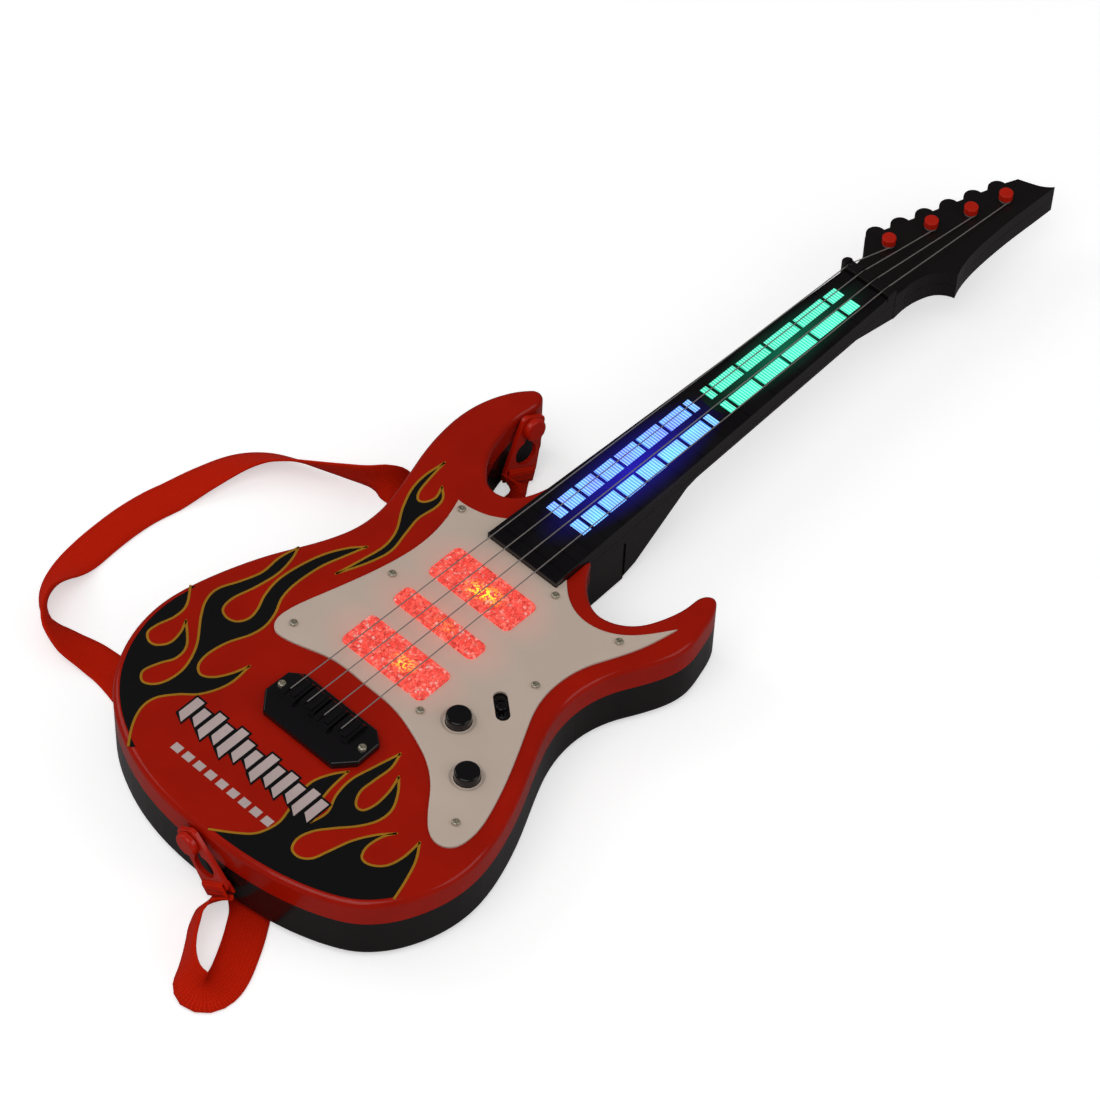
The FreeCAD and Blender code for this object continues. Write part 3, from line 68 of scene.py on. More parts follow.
def piece(name, points, faces, material, body="guitar", smooth=False):
    """A mesh piece that rides on a body and takes a finish."""
    mesh = bpy.data.meshes.new(name)
    mesh.from_pydata([tuple(p) for p in points], [], faces)
    mesh.update()
    for polygon in mesh.polygons:
        polygon.use_smooth = smooth
    obj = bpy.data.objects.new(name, mesh)
    bpy.context.scene.collection.objects.link(obj)
    mesh.materials.append(material)
    if body:
        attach(obj, body)
    return obj


def smooth_line(points, step=0.8):
    """A smooth line through the points, in short steps."""
    ends = [points[0]] + list(points) + [points[-1]]
    line = []
    for a, b, c, d in zip(ends, ends[1:], ends[2:], ends[3:]):
        length = math.dist(b[:2], c[:2])
        count = max(2, int(length / step))
        for k in range(count):
            t = k / count
            line.append(tuple(
                0.5 * (2 * q + (r - p) * t + (2 * p - 5 * q + 4 * r - s) * t * t
                       + (3 * q - p - 3 * r + s) * t ** 3)
                for p, q, r, s in zip(a, b, c, d)
            ))
    line.append(tuple(points[-1]))
    return line


# ---------------------------------------------------------------- shader helpers
class Shader:
    """A material's node tree with short ways to add and join nodes."""

    def __init__(self, name):
        self.material = bpy.data.materials.new(name)
        self.material.use_nodes = True
        self.tree = self.material.node_tree
        self.main = self.tree.nodes["Principled BSDF"]

    def node(self, kind, **settings):
        made = self.tree.nodes.new(kind)
        for key, value in settings.items():
            setattr(made, key, value)
        return made

    def join(self, source, target):
        self.tree.links.new(source, target)

    def feed(self, socket, value):
        """A number, a colour or another node's output into a socket."""
        if isinstance(value, bpy.types.NodeSocket):
            self.join(value, socket)
        else:
            socket.default_value = value

    def set(self, **values):
        for key, value in values.items():
            self.feed(self.main.inputs[key.replace("_", " ")], value)

    def math(self, operation, *values):
        """A sum on one, two or three numbers or outputs."""
        made = self.node("ShaderNodeMath", operation=operation)
        for socket, value in zip(made.inputs, values):
            self.feed(socket, value)
        return made.outputs[0]

    def place(self, scale=(1, 1, 1), shift=(0, 0, 0), source="Object"):
        where = self.node("ShaderNodeTexCoord").outputs[source]
        mapping = self.node("ShaderNodeMapping", vector_type="POINT")
        self.join(where, mapping.inputs["Vector"])
        mapping.inputs["Scale"].default_value = scale
        mapping.inputs["Location"].default_value = shift
        return mapping.outputs["Vector"]

    def noise(self, scale, detail=3.0, vector=None):
        made = self.node("ShaderNodeTexNoise")
        made.inputs["Scale"].default_value = scale
        made.inputs["Detail"].default_value = detail
        self.join(vector or self.place(), made.inputs["Vector"])
        return made.outputs["Fac"]

    def ramp(self, fac, stops):
        made = self.node("ShaderNodeValToRGB")
        self.join(fac, made.inputs["Fac"])
        elements = made.color_ramp.elements
        while len(elements) < len(stops):
            elements.new(0.5)
        for element, (position, colour) in zip(elements, stops):
            element.position = position
            element.color = (*colour, 1) if hasattr(colour, "__len__") else (colour,) * 3 + (1,)
        return made.outputs["Color"]

    def mix(self, fac, a, b, blend="MIX"):
        made = self.node("ShaderNodeMix", data_type="RGBA", blend_type=blend)
        self.feed(made.inputs["Factor"], fac)
        for index, value in ((6, a), (7, b)):
            colour = value
            if not isinstance(value, bpy.types.NodeSocket):
                colour = (*value, 1)
            self.feed(made.inputs[index], colour)
        return made.outputs[2]

    def bump(self, height, strength, distance):
        made = self.node("ShaderNodeBump")
        made.inputs["Strength"].default_value = strength
        made.inputs["Distance"].default_value = distance
        self.join(height, made.inputs["Height"])
        self.join(made.outputs["Normal"], self.main.inputs["Normal"])

    def glow(self, centre, reach):
        """1 at a place, falling to 0 at its reach along each axis."""
        scale = tuple(1 / r for r in reach)
        shift = tuple(-c / r for c, r in zip(centre, reach))
        made = self.node("ShaderNodeTexGradient", gradient_type="SPHERICAL")
        self.join(self.place(scale, shift), made.inputs["Vector"])
        return made.outputs["Fac"]


def plastic(name, colour, rough=0.2, coat=0.35, grain=0.012, mottle=0.06, shine=0.5):
    """Moulded plastic: a faint flow mottle, hazy patches and a fine skin."""
    s = Shader(name)
    dark = tuple(c * (1 - mottle * 2) for c in colour)
    flow = s.ramp(s.noise(45, 5), [(0.35, dark), (0.65, colour)])
    haze = s.noise(160, 6)
    s.set(Base_Color=flow, Coat_Weight=coat, Coat_Roughness=0.06, Specular_IOR_Level=shine)
    s.set(Roughness=s.math("MULTIPLY_ADD", haze, rough * 0.7, rough * 0.65))
    s.bump(s.noise(900, 2), grain, 0.0004)
    return s.material


def metal(name, colour, rough=0.22, brushed=(400, 400, 4000), metallic=1.0):
    """Metal with fine marks that run one way."""
    s = Shader(name)
    marks = s.noise(1.0, 4, s.place(scale=brushed))
    tone = s.ramp(marks, [(0.3, tuple(c * 0.75 for c in colour)), (0.7, colour)])
    s.set(Base_Color=tone, Metallic=metallic)
    s.set(Roughness=s.math("MULTIPLY_ADD", marks, 0.25, rough))
    s.bump(marks, 0.05, 0.0002)
    return s.material


# ---------------------------------------------------------------- finishes
RED = (0.41, 0.0085, 0.0012)
BLACK = (0.006, 0.005, 0.006)
WHITE = (0.66, 0.53, 0.44)
PICKUP_Y = (82.6, 55.9, 29.2)
PICKUP_REACH = (0.042, 0.024, 0.05)
BLUE_MIDDLE = place(0, 178, 41)
BLUE_REACH = (0.020, 0.062, 0.05)
GREEN_MIDDLE = place(0, 280, 41)
GREEN_REACH = (0.015, 0.060, 0.05)
LAMP_SPOTS = ((5, 82), (-2, 80), (4, 29))
FAINT_LAMP_SPOT = (2, 56)
LAMP_REACH = (0.008, 0.006, 0.02)
LAMP_LEVEL = 39              # height of the pickup lenses' tops
FACET_SCALE = 720


def guard_finish():
    """White sheet with a faint warm glow of the lit pickups painted round them."""
    s = Shader("guard_white")
    base = s.ramp(s.noise(30, 4), [(0.3, tuple(c * 0.93 for c in WHITE)), (0.7, WHITE)])
    # painted light: the lit pickups' warm glow is painted into the sheet's colour and made to glow
    # round each pickup
    painted_pools = [s.glow(place(-1, y, LAMP_LEVEL), PICKUP_REACH) for y in PICKUP_Y]
    pickup_light_painted = s.math("MAXIMUM", s.math("MAXIMUM", painted_pools[0], painted_pools[1]), painted_pools[2])
    tint_of_painted_light = s.math("MULTIPLY", pickup_light_painted, 0.6)
    s.set(Base_Color=s.mix(tint_of_painted_light, base, (0.80, 0.38, 0.32)))
    s.set(Emission_Color=(1.0, 0.18, 0.12, 1), Emission_Strength=s.math("MULTIPLY", pickup_light_painted, 0.16))
    s.set(Roughness=0.33, Coat_Weight=0.15)
    s.bump(s.noise(700, 2), 0.03, 0.0003)
    return s.material


def lens_finish():
    """Clear red moulding lit from below: fine facets, painted pale glints and a few hot lamps."""
    s = Shader("lens_lit")
    where = s.place(scale=(1, 1, 0.2))
    facet = s.node("ShaderNodeTexVoronoi", feature="F1", distance="CHEBYCHEV")
    seam = s.node("ShaderNodeTexVoronoi", feature="DISTANCE_TO_EDGE")
    for cell in (facet, seam):
        s.join(where, cell.inputs["Vector"])
        cell.inputs["Scale"].default_value = FACET_SCALE
        cell.inputs["Randomness"].default_value = 0.75
    chance = s.node("ShaderNodeSeparateColor")
    s.join(facet.outputs["Color"], chance.inputs[0])
    # the palest stops paint glints: highlights of the facets painted into the lens's glow
    tone = s.ramp(chance.outputs[0], [
        (0.0, (0.50, 0.006, 0.004)), (0.25, (0.95, 0.035, 0.022)), (0.70, (1.0, 0.10, 0.07)),
        (0.92, (1.0, 0.20, 0.15)), (0.99, (0.66, 0.36, 0.33))])
    groove = s.ramp(seam.outputs["Distance"], [(0.0, 0.45), (0.14, 1.0)])
    fleck = s.ramp(s.noise(1900, 2), [(0.42, 0.62), (0.58, 1.0)])
    lamps = [s.glow(place(x, y, LAMP_LEVEL), LAMP_REACH)
             for x, y in (*LAMP_SPOTS, FAINT_LAMP_SPOT)]
    hot = s.math("ADD", s.math("ADD", lamps[0], lamps[1]),
                 s.math("ADD", lamps[2], s.math("MULTIPLY", lamps[3], 0.3)))
    sparkle = s.math("MULTIPLY", hot, s.math("GREATER_THAN", s.noise(900, 1), 0.52))
    colour = s.mix(sparkle, tone, (1.0, 0.60, 0.02))
    power = s.math("MULTIPLY", s.math("MULTIPLY", groove, fleck), 1.05)
    s.set(Base_Color=s.mix(groove, (0.30, 0.008, 0.006), (0.60, 0.10, 0.08)))
    s.set(Emission_Color=colour, Emission_Strength=s.math("ADD", power, sparkle))
    s.set(Roughness=0.12, Coat_Weight=0.5)
    s.bump(facet.outputs["Distance"], 0.4, 0.0008)
    return s.material


RIB_PITCH = 0.0015           # metres between the ribs of a light window
RIB_TONE = (0.62, 0.95, 1.0)
BRIGHT_SIDE = -0.0006        # a window is brighter past this place along X, in metres


def window_finish(name, deep, bright, strength):
    """A ribbed light guide: fine pale ribs across a glow that shifts in tone."""
    s = Shader(name)
    along = s.node("ShaderNodeSeparateXYZ")
    s.join(s.place(), along.inputs[0])
    wave = s.math("SINE", s.math("MULTIPLY", along.outputs["Y"], 2 * math.pi / RIB_PITCH))
    rib = s.ramp(s.math("MULTIPLY", s.math("ADD", wave, 1.0), 0.5), [(0.30, 0.0), (0.75, 0.40)])
    patch = s.ramp(s.noise(90, 2), [(0.36, 0.0), (0.64, 1.0)])
    side = s.math("GREATER_THAN", along.outputs["X"], BRIGHT_SIDE)
    share = s.math("ADD", s.math("MULTIPLY", patch, 0.55), s.math("MULTIPLY", side, 0.45))
    tone = s.mix(share, deep, bright)
    s.set(Base_Color=(*deep, 1), Roughness=0.18)
    level = s.math("ADD", s.math("MULTIPLY", rib, 0.9), 0.72)
    s.set(Emission_Color=s.mix(rib, tone, RIB_TONE))
    s.set(Emission_Strength=s.math("MULTIPLY", level, strength))
    s.bump(wave, 0.3, 0.0003)
    return s.material


def board_finish():
    """Gloss black fingerboard with the blue and green light of its windows painted on as a glow.
    """
    s = Shader("board_black")
    tone = s.ramp(s.noise(60, 5), [(0.35, (0.004, 0.003, 0.004)), (0.65, (0.007, 0.006, 0.007))])
    # painted light: the windows' blue and green spill is painted onto the board as a glow that
    # fades away from each window
    blue = s.glow(BLUE_MIDDLE, BLUE_REACH)
    green = s.glow(GREEN_MIDDLE, GREEN_REACH)
    painted_spill_colour = s.mix(s.math("GREATER_THAN", green, blue), (0.035, 0.02, 0.95), (0.0, 0.55, 0.28))
    near = s.math("POWER", s.math("MAXIMUM", blue, s.math("MULTIPLY", green, 0.62)), 1.6)
    s.set(Base_Color=tone, Emission_Color=painted_spill_colour, Specular_IOR_Level=0.3)
    s.set(Emission_Strength=s.math("MULTIPLY", near, 0.48))
    s.set(Roughness=0.2, Coat_Weight=0.2)
    s.bump(s.noise(800, 2), 0.008, 0.0003)
    return s.material


WEAVE_ALONG = 0.0009         # metres between ribs along the webbing
WEAVE_ACROSS = 0.0016        # metres between threads across it


def webbing_finish():
    """Woven red strap: ribs along and threads across, with a soft fluff."""
    s = Shader("webbing_red")
    flat = s.node("ShaderNodeSeparateXYZ")
    s.join(s.place(source="UV"), flat.inputs[0])
    across, along = flat.outputs["X"], flat.outputs["Y"]
    rib = s.math("SINE", s.math("MULTIPLY", along, 2 * math.pi / WEAVE_ALONG))
    thread = s.math("SINE", s.math("MULTIPLY", across, 2 * math.pi / WEAVE_ACROSS))
    weave = s.math("MULTIPLY", rib, s.math("MULTIPLY_ADD", thread, 0.35, 0.65))
    fluff = s.noise(1500, 4)
    tone = s.ramp(weave, [(0.1, (0.50, 0.010, 0.001)), (0.8, (0.74, 0.018, 0.002))])
    s.set(Base_Color=s.mix(s.math("MULTIPLY", fluff, 0.3), tone, (0.76, 0.024, 0.003)))
    s.set(Roughness=0.8, Specular_IOR_Level=0.06)
    s.bump(s.math("ADD", weave, s.math("MULTIPLY", fluff, 0.5)), 0.3, 0.00025)
    return s.material


def circuit_finish():
    """Solder mask with fine copper tracks."""
    s = Shader("board_green")
    track = s.node("ShaderNodeTexBrick")
    s.join(s.place(), track.inputs["Vector"])
    track.inputs["Scale"].default_value = 160
    s.feed(track.inputs["Color1"], (0.02, 0.16, 0.05, 1))
    s.feed(track.inputs["Color2"], (0.03, 0.20, 0.07, 1))
    s.feed(track.inputs["Mortar"], (0.09, 0.34, 0.14, 1))
    s.set(Base_Color=track.outputs["Color"], Roughness=0.35, Coat_Weight=0.3)
    return s.material


BAND_START = -0.124          # metres along Y where a battery's metallic band begins


def battery_finish():
    """A printed sleeve: dark wrap with a metallic band towards one end."""
    s = Shader("battery_sleeve")
    along = s.node("ShaderNodeSeparateXYZ")
    s.join(s.place(), along.inputs[0])
    band = s.math("GREATER_THAN", along.outputs["Y"], BAND_START)
    s.set(Base_Color=s.mix(band, (0.02, 0.03, 0.06), (0.55, 0.32, 0.10)))
    s.set(Metallic=0.6, Roughness=s.ramp(s.noise(90, 4), [(0.3, 0.22), (0.7, 0.38)]))
    return s.material


FINISHES = {
    "red_gloss": plastic("body_red", RED, rough=0.16, coat=0.12, shine=0.22),
    "black_body": plastic("body_black", (0.009, 0.0075, 0.007), rough=0.2, coat=0.12, shine=0.3),
    "black_gloss": plastic("gloss_black", BLACK, rough=0.14, coat=0.2, shine=0.4),
    "black_neck": plastic("neck_black", (0.009, 0.007, 0.007), rough=0.26, coat=0.1, shine=0.3),
    "red_small": plastic("small_red", (0.56, 0.012, 0.002), rough=0.24, coat=0.12, shine=0.3),
    "white_guard": guard_finish(),
    "clear_red": lens_finish(),
    "board": board_finish(),
    "blue_light": window_finish("window_blue", (0.08, 0.14, 0.95), (0.09, 0.58, 1.0), 1.2),
    "green_light": window_finish("window_green", (0.010, 0.52, 0.30), (0.04, 0.80, 0.48), 1.1),
    "screw_nickel": metal("nickel", (0.66, 0.60, 0.48), 0.2, metallic=0.75),
    "string_steel": metal("wire", (0.36, 0.32, 0.30), 0.26, (3000, 200, 3000), metallic=0.5),
    "switch_metal": metal("can_steel", (0.60, 0.60, 0.60), 0.3),
    "spring_steel": metal("strip_steel", (0.60, 0.58, 0.54), 0.3),
    "speaker_steel": metal("zinc", (0.35, 0.36, 0.37), 0.4),
    "speaker_paper": plastic("pulp", (0.03, 0.03, 0.03), rough=0.9, coat=0.0, grain=0.4),
    "ferrite": plastic("ferrite_grey", (0.05, 0.05, 0.055), rough=0.7, coat=0.0, grain=0.3),
    "chip_black": plastic("epoxy_black", (0.02, 0.02, 0.022), rough=0.5, coat=0.1),
    "pad_rubber": plastic("pad_black", (0.02, 0.02, 0.02), rough=0.85, coat=0.0, grain=0.3),
    "red_lamp": plastic("lamp_red", (0.9, 0.12, 0.05), rough=0.08, coat=0.8),
    "white_lamp": plastic("lamp_white", (0.8, 0.85, 0.9), rough=0.2),
    "circuit_board": circuit_finish(),
    "battery_sleeve": battery_finish(),
    "strap_red": webbing_finish(),
}
INK_BLACK = plastic("ink_black", (0.0045, 0.004, 0.0045), rough=0.2, coat=0.2)
INK_YELLOW = plastic("ink_yellow", (0.42, 0.19, 0.006), rough=0.25, coat=0.2)
INK_WHITE = plastic("ink_white", (0.60, 0.47, 0.45), rough=0.3, coat=0.2)
THREAD = plastic("thread_dark", (0.10, 0.006, 0.003), rough=0.8, coat=0.0, grain=0.4)

for subpart in frame["record"]["subparts"]:
    node = NODES[subpart["node"]]
    finish = FINISHES[subpart["material_slot"]]
    if subpart["node"] == "fingerboard":
        finish = FINISHES["board"]
    node.data.materials.clear()
    node.data.materials.append(finish)


# ---------------------------------------------------------------- printed flames
def face_rim():
    """The edge of the flat red face, as an ordered loop of points read from the shell."""
    flat = bmesh.new()
    flat.from_mesh(NODES["upper_shell"].data)
    bmesh.ops.remove_doubles(flat, verts=flat.verts, dist=FLAT_TOLERANCE)
    level = FACE * MM
    top = {f for f in flat.faces
           if all(abs(v.co.z - level) < FLAT_TOLERANCE for v in f.verts)}
    edges = [e for e in flat.edges if sum(f in top for f in e.link_faces) == 1]
    ways = {}
    for edge in edges:
        a, b = edge.verts
        ways.setdefault(a, []).append(b)
        ways.setdefault(b, []).append(a)
    loops, used = [], set()
    for start in ways:
        if start in used:
            continue
        loop, here = [], start
        while here is not None:
            used.add(here)
            loop.append((here.co.x, here.co.y))
            here = next((v for v in ways[here] if v not in used), None)
        loops.append(loop)
    flat.free()
    return max(loops, key=lambda loop: sum(math.dist(a, b) for a, b in zip(loop, loop[1:])))


RIM = face_rim()


def rim_between(a, b):
    """The shorter way along the face's edge from near one point to near another."""
    first = min(range(len(RIM)), key=lambda i: math.dist(RIM[i], a))
    last = min(range(len(RIM)), key=lambda i: math.dist(RIM[i], b))
    size = len(RIM)
    ahead = [RIM[(first + k) % size] for k in range((last - first) % size + 1)]
    back = [RIM[(first - k) % size] for k in range((first - last) % size + 1)]

    def length(way):
        return sum(math.dist(p, q) for p, q in zip(way, way[1:]))

    return min(ahead, back, key=length)


PRINT_SHIFT = (-1.7, 0.6)    # from the artwork's own origin to the drawings' origin


def on_face(x, y):
    """A point of the printed artwork, in the frame."""
    spot = place(x + PRINT_SHIFT[0], y + PRINT_SHIFT[1], 0)
    return spot.x, spot.y


def outline_ribbon(name, line, width, material, level):
    """A printed line of even width."""
    points, faces = [], []
    for i, (x, y) in enumerate(line):
        ax, ay = line[max(0, i - 1)]
        bx, by = line[min(len(line) - 1, i + 1)]
        run = math.hypot(bx - ax, by - ay) or 1.0
        nx, ny = -(by - ay) / run * width / 2, (bx - ax) / run * width / 2
        points += [(x + nx, y + ny, level), (x - nx, y - ny, level)]
    for i in range(len(line) - 1):
        faces.append((2 * i, 2 * i + 1, 2 * i + 3, 2 * i + 2))
    return piece(name, points, faces, material)


def filled(name, loop, material, level):
    """A printed area inside a closed loop."""
    points = [Vector((x, y, level)) for x, y in loop]
    return piece(name, points, tessellate_polygon([points]), material)


# each flame is a chain of smooth edges that meet at sharp tips (mm, over the bridge)
LEFT_FLAME = [
    [(-47, -84), (-54, -75), (-58, -66), (-57.5, -58), (-52, -50), (-46, -44), (-42, -36),
     (-40.5, -28), (-41.5, -18)],
    [(-41.5, -18), (-44, -26), (-48, -33), (-53, -36), (-57.5, -33), (-59, -26),
     (-57.5, -16), (-53.5, -6), (-52.5, 2), (-54.5, 10), (-58.5, 18), (-60, 28), (-59, 42),
     (-56, 53), (-52.5, 64.5)],
    [(-52.5, 64.5), (-58, 58), (-63, 48), (-66, 36), (-67, 24), (-65, 14), (-61.5, 6),
     (-60.5, 0), (-63, -5), (-68, -6.5), (-72.5, -4), (-73.5, 3), (-71, 14), (-69.5, 26),
     (-71, 36), (-73.8, 43)],
    [(-73.8, 43), (-75.5, 33), (-75, 22), (-78, 12), (-82, 2), (-81, -6), (-76, -14),
     (-66, -26), (-61, -37), (-60.5, -46), (-63, -53), (-68, -56), (-72, -52), (-70, -44),
     (-67, -37), (-69, -29), (-79, -20)],
    [(-79, -20), (-76, -26), (-75, -33), (-78, -38), (-82, -39), (-86, -36), (-86, -30),
     (-84, -22), (-85, -14), (-92, -5)],
]
RIGHT_FLAME = [
    [(8, -90), (18, -83), (24, -77), (26.5, -68), (25, -60), (22, -51), (21.5, -42),
     (24.5, -34), (28.5, -28)],
    [(28.5, -28), (29.5, -40), (32, -50), (36, -57.5)],
    [(36, -57.5), (37.2, -49), (33.5, -40), (32.3, -30), (34.5, -19), (37.5, -6)],
    [(37.5, -6), (40, -14), (39.5, -24), (39.5, -32), (43, -38), (47, -38), (48.8, -32),
     (48, -23), (45.5, -15)],
    [(45.5, -15), (51, -21), (55.5, -29), (55.5, -37), (51.5, -45), (45, -53), (40, -60),
     (38, -67), (40, -72.5), (45, -73.5), (49.5, -70), (52, -62), (55, -52), (60, -43),
     (65.5, -36.5)],
    [(65.5, -36.5), (62.5, -42), (61.5, -50), (64, -55.5), (69, -55.5), (74, -51),
     (76, -43), (75.5, -33)],
    [(75.5, -33), (81, -41), (85, -51), (88, -61)],
]
HORN_FLAME = [
    [(-62.5, 123.5), (-63.5, 112), (-62, 102), (-57, 91), (-50, 80), (-47.5, 70), (-49, 58),
     (-51.5, 44)],
    [(-51.5, 44), (-46, 58), (-43.5, 70), (-46, 82), (-48, 92), (-47, 102), (-48.5, 108),
     (-53.5, 112.5)],
    [(-53.5, 112.5), (-51, 106), (-52.5, 101), (-55.5, 99.5), (-58.5, 103), (-60.5, 111),
     (-62.5, 123.5)],
]
EDGE_WIDTH = 1.1
CAP_TURNS = [2 * math.pi * k / 12 for k in range(12)]


def make_flame(name, chain, along_rim):
    """Black tongues with a thin yellow edge; the base follows the face's edge."""
    ink = (FACE + PRINT) * MM
    edge = (FACE + 2 * PRINT) * MM
    stretches = [[on_face(x, y) for x, y in smooth_line(stretch)] for stretch in chain]
    loop = [p for stretch in stretches for p in stretch[:-1]]
    if along_rim:
        loop += rim_between(stretches[-1][-1], stretches[0][0])
    filled(name + "_fill", loop, INK_BLACK, ink)
    for number, stretch in enumerate(stretches, start=1):
        outline_ribbon("%s_edge_%d" % (name, number), stretch, EDGE_WIDTH * MM, INK_YELLOW,
                       edge)
    joins = [stretch[0] for stretch in stretches[1:]]
    if not along_rim:
        joins.append(stretches[0][0])
    for number, (x, y) in enumerate(joins, start=1):
        cap = [(x + EDGE_WIDTH / 2 * MM * math.cos(turn), y + EDGE_WIDTH / 2 * MM * math.sin(turn))
               for turn in CAP_TURNS]
        filled("%s_tip_%d" % (name, number), cap, INK_YELLOW, edge)


make_flame("flame_left", LEFT_FLAME, True)
make_flame("flame_right", RIGHT_FLAME, True)
make_flame("flame_horn", HORN_FLAME, False)


# ---------------------------------------------------------------- printed motif
BAR_HEIGHTS = (13, 9, 15, 11, 17, 12, 9, 16, 11, 14, 10, 15, 12)
BAR_PITCH = 6.3
BAR_WIDTH = 4.4
BAR_MIDDLE = (-5, -52)       # the row's middle
BAR_FOOT = (2, -1)           # how far a bar's foot lies above its low end, left and right
SHADE_MARGIN = 1.0
DASHES = 9
DASH_START = -34
DASH_PITCH = 6.8
DASH_LENGTH = 4.6
DASH_LOW = -72
DASH_HIGH = -68


def bar_loop(x, low, high, grow):
    """A bar with a slanted foot, grown by a margin."""
    half = BAR_WIDTH / 2 + grow
    left, right = BAR_FOOT
    return [on_face(x - half, low + left - grow), on_face(x + half, low + right - grow),
            on_face(x + half, high + grow), on_face(x - half, high + grow)]


def make_motif():
    """A row of sound-level bars with a dark edge, and a row of short dashes below."""
    ink, dark = (FACE + 4 * PRINT) * MM, (FACE + 3 * PRINT) * MM
    start = BAR_MIDDLE[0] - BAR_PITCH * (len(BAR_HEIGHTS) - 1) / 2
    for number, tall in enumerate(BAR_HEIGHTS):
        x = start + number * BAR_PITCH
        low = BAR_MIDDLE[1] - tall / 2
        high = BAR_MIDDLE[1] + tall / 2
        filled("level_shade_%d" % number, bar_loop(x, low, high, SHADE_MARGIN), INK_BLACK, dark)
        filled("level_bar_%d" % number, bar_loop(x, low, high, 0.0), INK_WHITE, ink)
    for number in range(DASHES):
        x = DASH_START + number * DASH_PITCH
        end = x + DASH_LENGTH
        dash = [on_face(x, DASH_LOW), on_face(end, DASH_LOW), on_face(end, DASH_HIGH),
                on_face(x, DASH_HIGH)]
        filled("level_dash_%d" % number, dash, INK_WHITE, dark)


make_motif()


# ---------------------------------------------------------------- strap
STRAP_WIDTH = 18.0
STRAP_THICK = 1.2
GROUND_CLEAR = 0.35          # air left under the strap
# the webbing on the ground, between its leads to the clips: x, y, its tilt from lying flat
# in degrees, and its lift
WEBBING = [
    (18.2, -105.0, 62, 0.6), (20.0, -110.5, 68, 0.3), (23.6, -115.8, 70, 0),
    (28.0, -122.0, 70, 0), (32.8, -128.0, 64, 0),
    (37.8, -132.4, 48, 0), (43.2, -133.6, 27, 0), (47.3, -130.6, 10, 0),
    (48.6, -124.8, 2, 0), (46.8, -117.5, 0, 0), (42.0, -107.8, 0, 0),
    (35.4, -96.8, 0, 0), (27.0, -86.4, 0, 0), (10.0, -76.0, 0, 0),
    (-14.0, -67.0, 0, 0), (-40.0, -58.0, 0, 0), (-70.0, -50.0, 0, 0),
    (-100.0, -43.5, 0, 0), (-115.0, -43.5, 4, 0), (-129.0, -46.5, 22, 0),
    (-139.0, -47.0, 52, 0), (-147.0, -43.0, 90, 0.5), (-153.5, -35.0, 122, 0),
    (-158.5, -23.0, 156, 0), (-162.0, -8.0, 178, 0), (-163.5, 11.0, 180, 0),
    (-163.0, 28.0, 180, 0), (-160.0, 44.0, 180, 0), (-155.7, 62.0, 168, 0.4),
    (-150.5, 77.0, 157, 0.7), (-142.5, 87.5, 144, 0.9), (-132.0, 94.5, 132, 1.0),
    (-121.0, 100.0, 122, 1.0), (-109.5, 106.0, 111, 0.8), (-98.5, 112.2, 96, 0.4),
    (-91.5, 116.2, 60, 0), (-86.0, 119.6, 26, 0), (-80.5, 123.0, 4, 0),
    (-72.0, 128.5, 0, 0), (-60.0, 134.0, 0, 0), (-52.4, 138.2, 0, 0),
    (-48.4, 142.2, -8, 0),
]
# a cross-section's corners, in halves of the strap's width and thickness
ACROSS = [(-1.0, 0.0), (-0.96, 1.0), (-0.5, 1.0), (0.0, 1.0), (0.5, 1.0), (0.96, 1.0),
          (1.0, 0.0), (0.96, -1.0), (0.5, -1.0), (0.0, -1.0), (-0.5, -1.0), (-0.96, -1.0)]


def strip(name, sections, lengths, body):
    """A closed ribbon through cross-sections, with its length and width as its UV map."""
    count = len(ACROSS)
    points = [p for section in sections for p in section]
    faces = []
    for i in range(len(sections) - 1):
        for k in range(count):
            a, b = i * count + k, i * count + (k + 1) % count
            faces.append((a, b, b + count, a + count))
    faces.append(tuple(reversed(range(count))))
    faces.append(tuple(range((len(sections) - 1) * count, len(sections) * count)))
    obj = piece(name, points, faces, FINISHES["strap_red"], body=body, smooth=True)
    uv = obj.data.uv_layers.new(name="flat")
    for polygon in obj.data.polygons:
        for corner in polygon.loop_indices:
            vertex = obj.data.loops[corner].vertex_index
            row, column = divmod(vertex, count)
            uv.data[corner].uv = (ACROSS[column][0] * STRAP_WIDTH / 2 * MM, lengths[row])
    return obj


def section(middle, width, depth, wide=STRAP_WIDTH):
    """The corner points of a ribbon's cross-section."""
    return [middle + width * (a * wide / 2 * MM) + depth * (b * STRAP_THICK / 2 * MM)
            for a, b in ACROSS]


def bearing(turn, rise):
    """The direction at an angle from +X in plan and an angle above the horizontal."""
    turn, rise = math.radians(turn), math.radians(rise)
    return Vector((math.cos(turn) * math.cos(rise), math.sin(turn) * math.cos(rise),
                   math.sin(rise)))


def strap_clip(foot, out, way):
    """Where a clip's peg leaves the wall, the peg's direction and the way the clip hangs."""
    return {"foot": foot, "out": out, "along": (way - out * way.dot(out)).normalized()}


